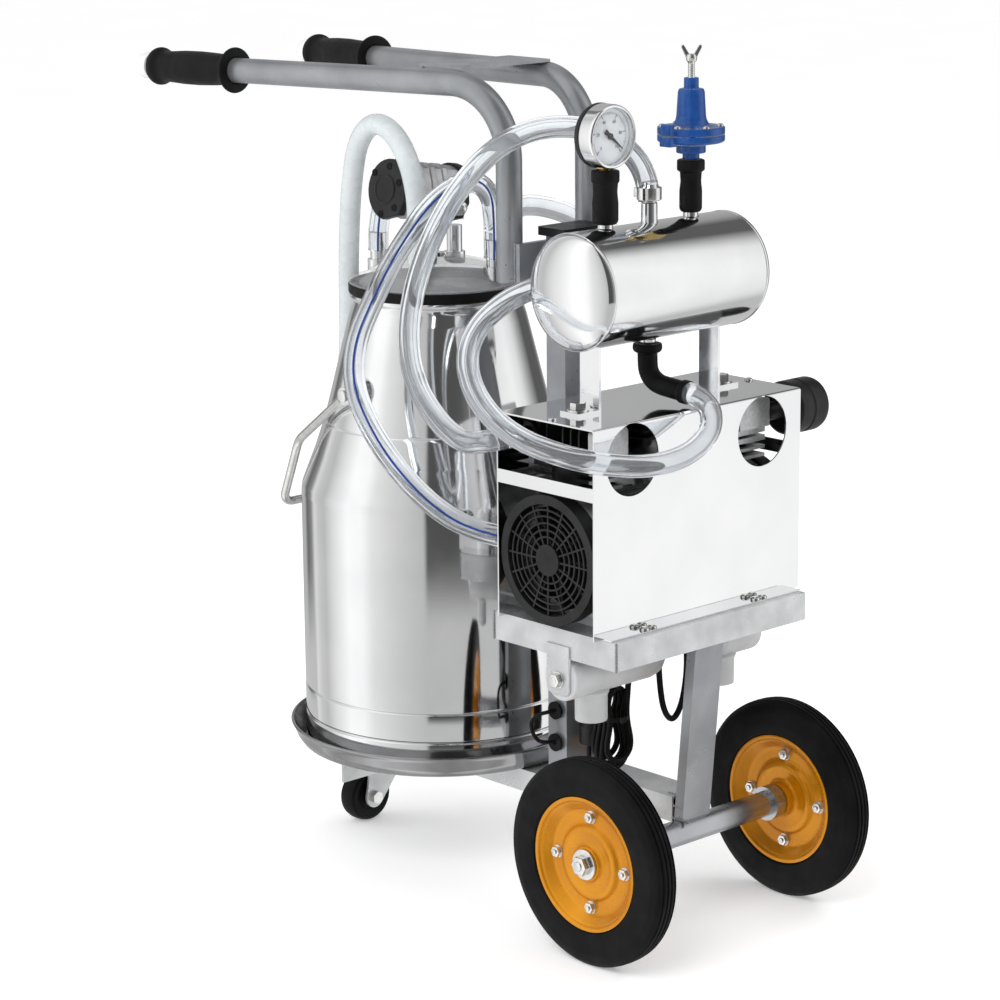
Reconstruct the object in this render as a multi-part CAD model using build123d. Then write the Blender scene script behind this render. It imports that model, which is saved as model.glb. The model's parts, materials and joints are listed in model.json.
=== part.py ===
from build123d import *
import os
from math import cos, pi, radians, sin, tan

# Portable bucket milking machine on a two-wheeled trolley with one swivel caster.
# The design is drawn with X = 0 over the axle, Y = 0 on the trolley's middle plane and Z = 0 on the
# floor; the pump and the big wheels are at the +X end, the bucket and the handles at the -X end.
# Every piece is moved at the end, so that the origin is the bottom centre of the whole machine.

# ---- driving dimensions (millimetres) ----
TYRE_R = 100.0            # eight-inch trolley tyre
TYRE_W = 29.0
TRACK = 135.3             # wheel centre from the middle plane
RIM_R = 65.0
AXLE_Z = TYRE_R
AXLE_R = 12.5
STUB_R = 8.0
FIT = 0.05                # radial running clearance

TRAY_X = (-138.2, 25.3)
TRAY_Y = 130.1
TRAY_Z = (288.1, 315.3)
ANGLE = 3.0               # wall of the tray's angle iron
COVER_X = (-122.1, 6.8)
COVER_Y = 140.2
COVER_Z = (315.5, 513.6)
SHEET = 1.5

BUCKET_X = -358.4
BUCKET_R = 142.0
MOUTH_R = 80.0
RIM_Z = 583.5
BUCKET_TOP = 388.0         # where the straight wall turns into the cone
PAN_R = 158.0
REAR_BEAM_Z = (90.0, 113.0)
FRONT_BEAM_Z = (109.0, 134.0)
BUCKET_FLOOR = REAR_BEAM_Z[1] + 2.3
BEAM_Y = 20.0
GASKET_R = 90.0
GASKET = 9.5
LID_Z = RIM_Z + GASKET
# outlines as (radius, height): the bucket's wall above its straight part, and the lid above its flange
BUCKET_SIDE = [
    (BUCKET_R, 380), (BUCKET_R - 1, BUCKET_TOP), (138, 396), (127, 424), (116, 457), (108, 488), (99, 524),
    (90, 560), (86, 572)]
LID_OUTLINE = [
    (GASKET_R, 0), (GASKET_R, 3.5), (82, 4), (76, 7), (66, 13), (52, 19), (36, 23), (18, 25.2), (0, 26)]
EAR_Z = 492.0             # pivot of the carrying bail
EAR_Y = 124.0
NOZZLES = {
    "front": (-290.0, 15.0), "near": (-318.0, -60.0), "tail": (-414.0, -30.0),
    "far": (-318.0, 58.0), "rear": (-396.0, 58.0),
}
NOZZLE_R = 8.0
NOZZLE_TOP = 640.0
POST_X = (-176.0, -150.2)
POST_Y = 23.0
POST_TOP = 661.0
WALL = 2.0
GROMMET_X = -163.5
GROMMET_Z = (188.0, 155.0)
GROMMET_R = 6.0
BAR_Y = (-62.0, 62.0)     # cross bars under the pump's feet

TANK = (-57.6, 0.0, 628.0)
TANK_R = 54.7
TANK_HALF = 102.0
DOME = 17.0
TANK_TOP = TANK[2] + TANK_R
GAUGE_Y = -61.0
BARB_Y = -3.0
REGULATOR_Y = 53.0
ELBOW_Y = -5.0
ELBOW_START = (TANK[0], ELBOW_Y, TANK[2] - TANK_R - 5)
ELBOW_END = (-6.0, -2.0, 527.0)
COUPLING = 54.0           # height of the rubber sleeves on the tank
GAUGE_Z = 768.0
GAUGE_BACK = -70.0
GAUGE_R = 30.0
REGULATOR_Z = TANK_TOP + COUPLING

HANDLE_R = 12.7
HANDLE_X = -195.3
HANDLE_Y = 52.8
HANDLE_FOOT = 617.0
HANDLE_TOP = 803.5
HANDLE_TIP = (-686.0, 109.0, 796.4)
HANDLE_BEND = 70.0

SWIVEL_X = -463.8
TRAIL = 19.0
CASTER_R = 28.0

PUMP = (-57.0, 0.0, 381.0)
GRILLE_R = 62.0
GRILLE_HUB = 15.0
GRILLE_RINGS = (22.0, 28.5, 35.0, 41.5, 47.5)
FILTER_END = 186.0
HEAD_FINS = (0, 1, 2, 4, 5, 6)   # the middle gap holds the head's bolt
HOSE_R = 10.5
CORD_R = 3.0
WIRE_R = 2.0
CORD_EXIT = (-76.0, 30.0, 321.5)

HUB_IN = TRACK - 16.5
HUB_OUT = TRACK + 10.5
BOLT_END = HUB_OUT + 2.5 + 8.5
SHIFT = Pos((-TYRE_R - HANDLE_TIP[0] + 6.0) / 2, (BOLT_END - FILTER_END) / 2, 0)

TURN = {
    "X": Rot(0, 90, 0), "Y": Rot(-90, 0, 0), "Z": Rot(0, 0, 0),
    "-X": Rot(0, -90, 0), "-Y": Rot(90, 0, 0), "-Z": Rot(180, 0, 0),
}
SIDES = {"left": 1, "right": -1}


# ---- helpers ----
def save(name, *pieces):
    """Write one sub-part: its separate solids, moved to the machine's own origin."""
    solids = [solid for piece in pieces for solid in piece.solids()]
    export_step(SHIFT * Compound(children=[Compound([s]) for s in solids]), f"parts/{name}.step")


def block(x, y, z):
    """Box between two limits on each axis."""
    middle = Pos(sum(x) / 2, sum(y) / 2, sum(z) / 2)
    return middle * Box(x[1] - x[0], y[1] - y[0], z[1] - z[0])


def rod(axis, at, radius, length):
    """Cylinder that starts at a point and runs along an axis."""
    return Pos(*at) * TURN[axis] * Cylinder(radius, length, align=(Align.CENTER, Align.CENTER, Align.MIN))


def ring(axis, at, outer, inner, length):
    """Plain collar or washer."""
    return rod(axis, at, outer, length) - rod(axis, at, inner, length)


def hexagon(axis, at, across, length):
    """Hexagon head or nut."""
    return Pos(*at) * TURN[axis] * extrude(RegularPolygon(across / 2, 6, major_radius=False), length)


def turned(axis, at, outline):
    """Solid of revolution from (radius, height) points."""
    face = make_face(Polyline(*[(r, 0, h) for r, h in outline], close=True))
    return Pos(*at) * TURN[axis] * revolve(face, Axis.Z, 360)


def bolt(axis, at, across, head, shank_r, shank):
    """Hexagon bolt: the head starts at the point, the shank runs back from it."""
    below = Pos(*at) * TURN[axis] * Pos(0, 0, -shank / 2) * Cylinder(shank_r, shank)
    return hexagon(axis, at, across, head) + below


def bend_radii(points):
    """Largest arcs that the runs beside each corner leave room for."""
    radii = []
    for before, corner, after in zip(points, points[1:], points[2:]):
        run_in = Vector(*corner) - Vector(*before)
        run_out = Vector(*after) - Vector(*corner)
        turn = radians(run_in.get_angle(run_out))
        radii.append(0.45 * min(run_in.length, run_out.length) / tan(turn / 2))
    return radii


def hose(name, points, radius):
    """Round cord or hose along straight runs joined by tangent arcs."""
    radii = bend_radii(points)
    path = FilletPolyline(*points, radius=radii)
    solid = sweep(Plane(path @ 0, z_dir=path % 0) * Circle(radius), path=path)
    section = pi * radius ** 2
    ratio = solid.volume / (section * path.length)
    print(name, "length", round(path.length), "volume", round(ratio, 3))
    return solid


# ---- trolley frame ----
def spine_beams():
    """Low rear beam under the bucket and stepped front beam over the axle."""
    def tube(x, z):
        outer = block(x, (-BEAM_Y, BEAM_Y), z)
        return outer - block(x, (WALL - BEAM_Y, BEAM_Y - WALL), (z[0] + WALL, z[1] - WALL))
    rear = tube((-480, POST_X[0]), REAR_BEAM_Z)
    front = tube((POST_X[1], -8.6), FRONT_BEAM_Z) - rod("Y", (0, -40, AXLE_Z), AXLE_R, 80)
    return rear, front


def front_post():
    """Flat bar that leans forward from the axle to the tray."""
    foot_x, top_x, depth = 3.5, 21.8, 11.0
    foot_z, top_z = 104.0, 300.0
    side = Polyline((foot_x, 0, foot_z), (top_x, 0, top_z), (top_x - depth, 0, top_z),
                    (foot_x - depth, 0, foot_z), close=True)
    bar = extrude(make_face(side), 19, both=True)
    return bar - rod("Y", (0, -40, AXLE_Z), AXLE_R, 80)


def rear_post():
    """Upright tube that carries the handles, with two cable holes on its near side."""
    outer = block(POST_X, (-POST_Y, POST_Y), (REAR_BEAM_Z[0], POST_TOP))
    inner = block((POST_X[0] + WALL, POST_X[1] - WALL), (WALL - POST_Y, POST_Y - WALL),
                  (REAR_BEAM_Z[0] - 1, POST_TOP + 1))
    post = outer - inner
    for z in GROMMET_Z:
        post -= rod("Y", (GROMMET_X, -POST_Y - 1, z), GROMMET_R, WALL + 2)
    return post


def cable_grommets():
    """Rubber bushes in the rear post."""
    outline = [(WIRE_R + 0.1, -4), (9, -4), (9, -2), (GROMMET_R, 0), (GROMMET_R, WALL), (8.5, WALL),
               (8.5, WALL + 2), (WIRE_R + 0.1, WALL + 2)]
    return [turned("Y", (GROMMET_X, -POST_Y, z), outline) for z in GROMMET_Z]


def cross_angle():
    """Bent bracket under the tail of the beam, for the caster."""
    half = [(-427, 82), (-434, 82), (-470, 40), (-502, 40)]
    outline = half + [(x, -y) for x, y in reversed(half)]
    flange = Pos(0, 0, 87) * extrude(make_face(Polyline(*outline, close=True)), 3)
    lip = block((-427, -424), (-82, 82), (64, 90))
    hole_at = [(SWIVEL_X + dx, dy, 80) for dx in (-24, 24) for dy in (-26.5, 26.5)]
    bracket = flange + lip
    for at in hole_at:
        bracket -= rod("Z", at, 3.3, 20)
    return bracket


def handle_bracket():
    """Plate between the rear post and both handle tubes."""
    return block((HANDLE_X + HANDLE_R, POST_X[0]), (-58, 58), (HANDLE_FOOT, 655))


def post_cap():
    """Flat black cap on the rear post, with a plug that fits the tube."""
    plate = fillet(block((-182, -144), (-30, 30), (POST_TOP, POST_TOP + 8)).edges().filter_by(Axis.Z), 4)
    inner_x = (POST_X[0] + WALL, POST_X[1] - WALL)
    plug = block(inner_x, (WALL - POST_Y, POST_Y - WALL), (POST_TOP - 12, POST_TOP))
    return plate + plug


def tray_frame():
    """Angle-iron rectangle with two cross bars for the pump's feet."""
    x0, x1 = TRAY_X
    z0, z1 = TRAY_Z
    frame = block(TRAY_X, (-TRAY_Y, TRAY_Y), TRAY_Z)
    frame -= block((x0 + ANGLE, x1 - ANGLE), (ANGLE - TRAY_Y, TRAY_Y - ANGLE), (z0 - 1, z1 - ANGLE))
    frame -= block((x0 + 27, x1 - 27), (27 - TRAY_Y, TRAY_Y - 27), (z0, z1 + 1))
    shelf_z = (z1 - ANGLE, z1)
    for y in BAR_Y:
        frame += block(TRAY_X, (y - 12, y + 12), shelf_z)
    return frame


def handle_path(side):
    """Centre line of one handle tube."""
    return FilletPolyline((HANDLE_X, side * HANDLE_Y, HANDLE_FOOT), (HANDLE_X, side * HANDLE_Y, HANDLE_TOP),
                          (HANDLE_TIP[0], side * HANDLE_TIP[1], HANDLE_TIP[2]), radius=HANDLE_BEND)


def handle_tube(side):
    """Bent handle tube."""
    path = handle_path(side)
    section = Plane(path @ 0, z_dir=path % 0) * (Circle(HANDLE_R) - Circle(HANDLE_R - 1.5))
    return sweep(section, path=path)


def on_handle(side, from_tip):
    """Plane across the handle tube, a distance back from its tip, facing the tip."""
    path = handle_path(side)
    return Plane(Vector(*(path @ 1)) - Vector(*(path % 1)) * from_tip, z_dir=path % 1)


def handle_grip(side):
    """Rubber grip with a large inner and a small outer flange."""
    bore = HANDLE_R + FIT
    outline = [(bore, 0), (23, 0), (23, 3.5), (17, 7), (16, 12)]
    for k in range(8):
        start = 20 + 10 * k
        outline += [(16, start), (15.3, start + 2), (15.3, start + 4), (16, start + 6)]
    outline += [(16, 106), (19, 110), (19, 114), (17, 118), (bore, 118)]
    return on_handle(side, 124) * turned("Z", (0, 0, 0), outline)


def tube_end_plug(side):
    """White plug in the open end of a handle tube."""
    bore = HANDLE_R - 1.6
    outline = [(0, -14), (bore, -14), (bore, 0), (HANDLE_R, 0), (HANDLE_R, 4), (9, 6), (0, 6)]
    return on_handle(side, 0) * turned("Z", (0, 0, 0), outline)


def handle_cross_plate():
    """Flat plate on top of the two handle tubes."""
    return block((-314, -255), (-60, 60), (HANDLE_TOP + HANDLE_R - 1.4, HANDLE_TOP + HANDLE_R + 1.6))


# ---- axle and wheels ----
def axle_tube():
    """Axle tube with a solid stub and a dark stop collar at each end."""
    tube = rod("Y", (0, 3 - HUB_IN, AXLE_Z), AXLE_R, 2 * HUB_IN - 6)
    pieces = [tube]
    for side in (1, -1):
        axis = "Y" if side > 0 else "-Y"
        stub = rod(axis, (0, side * (HUB_IN - 3), AXLE_Z), STUB_R, HUB_OUT - HUB_IN + 3.3)
        pieces[0] += stub
        pieces.append(ring(axis, (0, side * (HUB_IN - 16), AXLE_Z), 17, AXLE_R, 12.7))
    return pieces


def axle_bolts():
    """Washer and hexagon bolt that hold each wheel on its stub."""
    pieces = []
    for side in (1, -1):
        axis = "Y" if side > 0 else "-Y"
        start = HUB_OUT + 0.3
        pieces.append(ring(axis, (0, side * start, AXLE_Z), 15, 4.2, 2.2))
        pieces.append(hexagon(axis, (0, side * (start + 2.2), AXLE_Z), 17, 8.5))
    return pieces


def tyre(side):
    """Solid-looking rubber tyre with four shallow grooves round the tread."""
    half = TYRE_W / 2
    wall = [(61.2, 10.2), (65.2, 11.4), (66.5, half - 1), (76, half), (88, half), (95, half - 2), (98.6, 9.6)]
    outline = [(r, -y) for r, y in wall]
    for groove in (-7.5, -2.5, 2.5, 7.5):
        crown = TYRE_R - (abs(groove) - 2.5) / 12
        outline += [(crown, groove - 1), (crown - 1.6, groove - 0.6)]
        outline += [(crown - 1.6, groove + 0.6), (crown, groove + 1)]
    outline += reversed(wall)
    return turned("Y", (0, side * TRACK, AXLE_Z), outline)


def rim(side):
    """Two pressed discs round a hub tube, with a bush in the bore."""
    shell = turned("Y", (0, side * TRACK, AXLE_Z), [
        (17, -3), (30, -3), (38, -5), (50, -5), (57, -10), (61, -10.3), (61, -12.2), (65, -13), (65, -11.7),
        (61, -10.5), (61, 10.5), (65, 11.7), (65, 13), (61, 12.2), (57, 10), (50, 5), (38, 5), (30, 3),
        (17, 3)])
    hub = ring("Y", (0, side * TRACK - (16.5 if side > 0 else 10.5), AXLE_Z), 17, 11, HUB_OUT - HUB_IN)
    for x, z in rim_bolt_places():
        shell -= rod("Y", (x, side * TRACK - 20, AXLE_Z + z), 3.1, 40)
    low = min(side * HUB_IN, side * HUB_OUT)
    bush = ring("Y", (0, low, AXLE_Z), 11, STUB_R + FIT, HUB_OUT - HUB_IN)
    return shell + hub, bush


def rim_bolt_places():
    """Four bolts, fore, aft, up and down."""
    return [(44.5, 0), (0, 44.5), (-44.5, 0), (0, -44.5)]


def rim_bolts(side):
    """Hexagon bolts and nuts that clamp the two halves of a rim."""
    pieces = []
    for x, z in rim_bolt_places():
        y = side * TRACK
        outward = "Y" if side > 0 else "-Y"
        pieces.append(bolt(outward, (x, y + side * 5, AXLE_Z + z), 10, 4.5, 3, 14)
                      + hexagon("-Y" if side > 0 else "Y", (x, y - side * 5, AXLE_Z + z), 10, 4.5))
    return pieces


# ---- caster ----
def caster_plate():
    """Fixed top plate with the swivel's upper race and pin, and its four bolts."""
    plate = block((SWIVEL_X - 32, SWIVEL_X + 32), (-34, 34), (84, 87))
    race = ring("Z", (SWIVEL_X, 0, 74), 24, 18, 10)
    pin = rod("Z", (SWIVEL_X, 0, 70), 5.5, 14) + rod("Z", (SWIVEL_X, 0, 67.5), 9, 2.5)
    bolts = []
    for dx in (-24, 24):
        for dy in (-26.5, 26.5):
            plate -= rod("Z", (SWIVEL_X + dx, dy, 80), 3.3, 20)
            bolts.append(hexagon("Z", (SWIVEL_X + dx, dy, 90), 10, 4)
                         + rod("Z", (SWIVEL_X + dx, dy, 82), 3, 8)
                         + hexagon("-Z", (SWIVEL_X + dx, dy, 84), 10, 4))
    return [plate + race + pin] + bolts


def caster_fork():
    """Pressed fork: a dished disc round the swivel pin and two legs down to the wheel's axle."""
    crown = ring("Z", (SWIVEL_X, 0, 70.5), 27.5, 5.5 + FIT, 3) + ring("Z", (SWIVEL_X, 0, 73.5), 27.5, 25.5, 5)
    legs = []
    for side in (1, -1):
        x = SWIVEL_X + side * 15.2
        top = Pos(0, 66) * Rectangle(46, 9)
        eye = Pos(-TRAIL, CASTER_R) * Circle(11.5)
        profile = make_hull(top.edges() + eye.edges())
        leg = Plane((x, 0, 0), x_dir=(0, 1, 0), z_dir=(1, 0, 0)) * extrude(profile, 1.4, both=True)
        legs.append(leg - rod("X", (x - 5, -TRAIL, CASTER_R), 4.1, 10))
    body = crown + legs[0] + legs[1]
    return body


def caster_axle():
    """Bolt and nut through the fork."""
    reach = 15.2 + 1.4
    return (rod("X", (SWIVEL_X - reach, -TRAIL, CASTER_R), 4, 2 * reach)
            + hexagon("X", (SWIVEL_X + reach, -TRAIL, CASTER_R), 12, 5)
            + hexagon("-X", (SWIVEL_X - reach, -TRAIL, CASTER_R), 12, 5))


def caster_wheel():
    """Rubber wheel with a rounded tread on a plain hub."""
    tread = turned("X", (SWIVEL_X, -TRAIL, CASTER_R), [
        (14, -9), (20, -10), (24, -11), (27, -8.5), (CASTER_R, -4), (CASTER_R, 4), (27, 8.5), (24, 11),
        (20, 10), (14, 9)])
    hub = ring("X", (SWIVEL_X - 12.5, -TRAIL, CASTER_R), 8, 4 + FIT, 25)
    hub += ring("X", (SWIVEL_X - 9, -TRAIL, CASTER_R), 14, 7, 18)
    return tread, hub


# ---- bucket, pan and lid ----
def drip_pan():
    """Shallow round pan that locates the bucket on the beam."""
    z = REAR_BEAM_Z[1]
    return turned("Z", (BUCKET_X, 0, 0), [
        (0, z), (140, z), (147, z + 3), (152, z + 10), (PAN_R - 2, z + 20), (PAN_R, z + 23), (PAN_R, z + 25),
        (PAN_R - 3, z + 25), (150, z + 12), (146, z + 4.6), (143.5, z + 2), (0, z + 2)])


def bucket():
    """Bucket with a straight wall, a shoulder and a long cone up to a rolled rim."""
    z = BUCKET_FLOOR
    foot = [(0, z), (134, z), (139, z + 3), (BUCKET_R, z + 9)]
    seam = [(BUCKET_R, 147), (BUCKET_R - 1, 148), (BUCKET_R, 149)]
    rolled_rim = [(85.5, RIM_Z - 7), (88.5, RIM_Z - 5), (89.5, RIM_Z - 2), (88.5, RIM_Z), (MOUTH_R, RIM_Z)]
    inside = [(r - 2.5, h) for r, h in reversed(BUCKET_SIDE)]
    floor = [(BUCKET_R - 2.5, z + 10), (134, z + 2), (0, z + 2)]
    return turned("Z", (BUCKET_X, 0, 0), foot + seam + BUCKET_SIDE + rolled_rim + inside + floor)


def bucket_gasket():
    """Black ring between the rim and the lid."""
    return ring("Z", (BUCKET_X, 0, RIM_Z), GASKET_R, MOUTH_R - 2, GASKET)


def lid_filled():
    """Outer shape of the lid."""
    return turned("Z", (BUCKET_X, 0, LID_Z), [(0, 0)] + LID_OUTLINE)


def bucket_lid():
    """Clear moulded lid: a flat flange and a shallow dome, hollow below."""
    hollow = [(0, 23.5), (18, 22.7), (35, 20.6), (50.5, 16.8), (64, 11), (73.5, 5), (76, 0)]
    return turned("Z", (BUCKET_X, 0, LID_Z), LID_OUTLINE + hollow)


def lid_fittings():
    """Centre knob and the hose nozzles of the lid."""
    knob = turned("Z", (BUCKET_X + 6, 0, LID_Z + 24), [(0, 0), (5, 0), (5, 3), (7, 4), (7, 6), (0, 6.5)])
    knob -= lid_filled()
    pieces = [knob]
    for x, y in NOZZLES.values():
        tube = rod("Z", (x, y, LID_Z + 2), NOZZLE_R, NOZZLE_TOP - LID_Z - 2)
        tube += rod("Z", (x, y, LID_Z + 2), 11, 18)
        pieces.append(tube - lid_filled())
    return pieces


def bail_ears():
    """Round ear plates with pivot studs on both sides of the cone."""
    pieces = []
    for side in (1, -1):
        axis = "Y" if side > 0 else "-Y"
        ear = rod(axis, (BUCKET_X, side * 100, EAR_Z), 16, 12)
        ear += rod(axis, (BUCKET_X, side * 110, EAR_Z), 6, EAR_Y - 114)
        ear += rod(axis, (BUCKET_X, side * 112, EAR_Z), 3.5, EAR_Y - 104)
        ear += rod(axis, (BUCKET_X, side * (EAR_Y + 4), EAR_Z), 6, 2)
        pieces.append(ear - solid_cone())
    return pieces


def solid_cone():
    """Outer shape of the bucket's cone, filled."""
    return turned("Z", (BUCKET_X, 0, 0), [(0, 380)] + BUCKET_SIDE + [(0, 572)])


def bucket_bail():
    """Bent rod with an eye round each ear stud."""
    r = 4.5
    half = [(BUCKET_X - 6, EAR_Y, EAR_Z - 4), (BUCKET_X - 108, EAR_Y - 27, EAR_Z - 65),
            (BUCKET_X - 150, EAR_Y - 38, EAR_Z - 140)]
    points = half + [(x, -y, z) for x, y, z in reversed(half)]
    path = FilletPolyline(*points, radius=[40, 16, 16, 40])
    bar = sweep(Plane(path @ 0, z_dir=path % 0) * Circle(r), path=path)
    for side in (1, -1):
        axis = "Y" if side > 0 else "-Y"
        at = (BUCKET_X, side * (EAR_Y - 3), EAR_Z)
        bar += rod(axis, at, 9, 6)
    for side in (1, -1):
        axis = "Y" if side > 0 else "-Y"
        bar -= rod(axis, (BUCKET_X, side * (EAR_Y - 12), EAR_Z), 3.5 + FIT, 30)
    return bar


# ---- pulsator ----
PULSATOR = Pos(-357, -60, 691) * Rot(-8, 0, 0)


def pulsator_body():
    """Ribbed silver body with a foot that stands on the lid."""
    body = rod("Y", (0, 4, 0), 27, 70)
    for k in range(7):
        body += rod("Y", (0, 9 + 9 * k, 0), 29, 4)
    port = rod("-X", (-20, 30, -6), 7, 18)
    placed = PULSATOR * (body + port)
    foot = rod("Z", (-352, -22, LID_Z + 15), 11, 60) - placed - lid_filled()
    return placed, foot


def pulsator_covers():
    """Black end covers with screws."""
    flat = block((-40, 40), (-30, 120), (-60, -27))
    pieces = []
    for start, axis in ((4, "-Y"), (74, "Y")):
        cover = rod(axis, (0, start, 0), 31, 9) - flat
        hub = rod(axis, (0, start + (-9 if axis == "-Y" else 9), 0), 15, 1.5)
        screws = Part()
        for k in range(5):
            a = radians(90 + 72 * k)
            at = (24 * cos(a), start + (-9 if axis == "-Y" else 9), 24 * sin(a))
            if at[2] > -22:
                screws += rod(axis, at, 3, 1.5)
        pieces.append(PULSATOR * (cover + hub + screws))
    return pieces


# ---- vacuum tank and its fittings ----
def vacuum_tank():
    """Welded receiver with dished ends, hollow, with four ports."""
    def body(r, half, dome):
        end = [(r, half), (r * 0.85, half + dome * 0.5), (r * 0.55, half + dome * 0.88), (0, half + dome)]
        return turned("Y", TANK, [(a, -b) for a, b in reversed(end)] + end)
    tank = body(TANK_R, TANK_HALF, DOME)
    for side in (1, -1):
        tank += ring("Y", (TANK[0], side * TANK_HALF - 1.5, TANK[2]), TANK_R + 0.5, TANK_R - 2, 3)
    for y in (GAUGE_Y, BARB_Y, REGULATOR_Y):
        tank += rod("Z", (TANK[0], y, TANK_TOP - 4), 7, 8)
    tank += rod("Z", (TANK[0], ELBOW_Y, TANK[2] - TANK_R - 5), 8, 9)
    tank -= body(TANK_R - 2, TANK_HALF, DOME - 2)
    for y in (GAUGE_Y, BARB_Y, REGULATOR_Y):
        tank -= rod("Z", (TANK[0], y, TANK[2]), 4, TANK_R + 10)
    return tank - rod("-Z", (TANK[0], ELBOW_Y, TANK[2]), 4, TANK_R + 10)


def tank_brackets():
    """Two angle brackets between the tank and the top of the cover."""
    pieces = []
    width = (TANK[0] - 12.5, TANK[0] + 12.5)
    for side in (1, -1):
        leg = block(width, sorted((side * 79, side * 82)), (COVER_Z[1], TANK[2] - TANK_R + 8))
        foot = block(width, sorted((side * 79, side * 108)), (COVER_Z[1], COVER_Z[1] + 3))
        bracket = leg + foot - rod("Y", (TANK[0], -120, TANK[2]), TANK_R, 240)
        pieces.append(bracket - rod("Z", (TANK[0], side * 97, COVER_Z[1] - 5), 4.2, 20))
    return pieces


def cover_fasteners():
    """Hexagon bolts of the tank brackets and small screws along the cover."""
    pieces = []
    top = COVER_Z[1]
    for side in (1, -1):
        pieces.append(hexagon("Z", (TANK[0], side * 97, top + 3), 13, 5.5)
                      + rod("Z", (TANK[0], side * 97, top - 6), 4, 9)
                      + hexagon("-Z", (TANK[0], side * 97, top - SHEET), 13, 5))
        pieces.append(turned("Z", (TANK[0] + 3, side * 133, top),
                             [(0, -6), (2, -6), (2, 0), (4, 0), (3.4, 1.8), (0, 2.6)]))
        pieces.append(turned("Z", (COVER_X[1] + 6.5, side * 76, COVER_Z[0] + SHEET),
                             [(0, -9), (2.4, -9), (2.4, 0), (5, 0), (4.2, 2.4), (0, 3.6)]))
    return pieces


def rubber_couplings():
    """Soft sleeves with a clamp collar that carry the gauge and the regulator."""
    pieces = []
    for y, r in ((GAUGE_Y, 12.2), (REGULATOR_Y, 10.8)):
        pieces.append(turned("Z", (TANK[0], y, TANK_TOP), [
            (0, 4), (r - 2, 4), (r, 7), (r, 42), (13.2, 43), (13.2, 53), (r, 54), (0, 54)]))
    return pieces


def gauge_case():
    """Round case with a bezel and a brass stem."""
    cup = turned("X", (GAUGE_BACK, GAUGE_Y, GAUGE_Z), [
        (1.3, 0), (26, 0), (28, 2), (28, 18), (GAUGE_R, 18.5), (GAUGE_R, 23), (28.5, 24), (26, 24), (26, 2.5),
        (1.3, 2.5)])
    stem = rod("Z", (TANK[0], GAUGE_Y, TANK_TOP + 54), 5, GAUGE_Z - 27 - TANK_TOP - 54)
    return cup, stem


def gauge_dial():
    """Printed disc behind the needle."""
    return ring("X", (GAUGE_BACK + 16, GAUGE_Y, GAUGE_Z), 25.9, 1.3, 1)


def gauge_needle():
    """Pointer on a spindle."""
    spindle = rod("X", (GAUGE_BACK + 1, GAUGE_Y, GAUGE_Z), 1.2, 19.5)
    hub = rod("X", (GAUGE_BACK + 18.4, GAUGE_Y, GAUGE_Z), 3, 1.4)
    point = extrude(make_face(Polyline((0, 1.6), (0, -1.6), (20, -0.3), (20, 0.3), close=True)), 0.8)
    tail = extrude(make_face(Polyline((0, 1.6), (-8, 2.4), (-8, -2.4), (0, -1.6), close=True)), 0.8)
    toward = (0, cos(radians(-38)), sin(radians(-38)))
    swing = Plane((GAUGE_BACK + 18.6, GAUGE_Y, GAUGE_Z), x_dir=toward, z_dir=(1, 0, 0))
    return spindle + hub + swing * (point + tail)


def gauge_glass():
    """Clear window."""
    return rod("X", (GAUGE_BACK + 21.4, GAUGE_Y, GAUGE_Z), 25.9, 1.4)


def tank_barb():
    """Barbed nipple for the pump's vacuum hose."""
    outline = [(0, 4), (7.6, 4), (7.6, 18), (6.5, 19)]
    for k in range(3):
        outline += [(8.2, 21 + 5 * k), (6.8, 25.5 + 5 * k)]
    outline += [(6.8, 38), (0, 38)]
    return turned("Z", (TANK[0], BARB_Y, TANK_TOP), outline)


def tank_elbow():
    """Rubber elbow under the tank, with a bead at its mouth."""
    path = FilletPolyline(ELBOW_START, (TANK[0], ELBOW_Y, 535), ELBOW_END, radius=16)
    bend = sweep(Plane(path @ 0, z_dir=path % 0) * Circle(9.5), path=path)
    bead = rod("-Z", (TANK[0], ELBOW_Y, ELBOW_START[2]), 14, 8)
    return bend + fillet(bead.edges(), 3)


def regulator_body():
    """Blue lower housing with a flange, a neck and two screws."""
    at = (TANK[0], REGULATOR_Y, REGULATOR_Z)
    body = turned("Z", at, [
        (0, 0), (8, 0), (8, 5), (14, 6), (14, 14), (30, 16), (32, 18), (32, 23.5), (24, 23.5), (24, 20),
        (0, 20)])
    lug = block((at[0] - 6, at[0] + 6), (at[1] - 36, at[1] - 28), (at[2] + 15, at[2] + 23.5))
    screws = []
    for k in range(6):
        spoke = radians(45 + 60 * k)
        screws.append(rod("Z", (at[0] + 27 * cos(spoke), at[1] + 27 * sin(spoke), at[2] + 31), 3.2, 2.2))
    return [body + lug] + screws


def regulator_bonnet():
    """Blue bonnet over the spring, with a threaded neck."""
    at = (TANK[0], REGULATOR_Y, REGULATOR_Z)
    return turned("Z", at, [
        (24, 23.8), (32, 23.8), (32, 31), (22, 31), (15, 34), (14, 38), (12.7, 64), (11.5, 66), (7, 66),
        (7, 76.5), (3.6, 76.5), (3.6, 57), (9.5, 56), (9.5, 28), (24, 27)])


def regulator_inside():
    """Rubber diaphragm and the spring's coil seat in the bonnet."""
    at = (TANK[0], REGULATOR_Y, REGULATOR_Z)
    disc = turned("Z", at, [(0, 20.3), (23.7, 20.3), (23.7, 23), (12, 22.2), (6, 25), (0, 25)])
    spring = ring("Z", (TANK[0], REGULATOR_Y, REGULATOR_Z + 25.5), 8.5, 6, 25)
    return disc, spring


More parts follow.
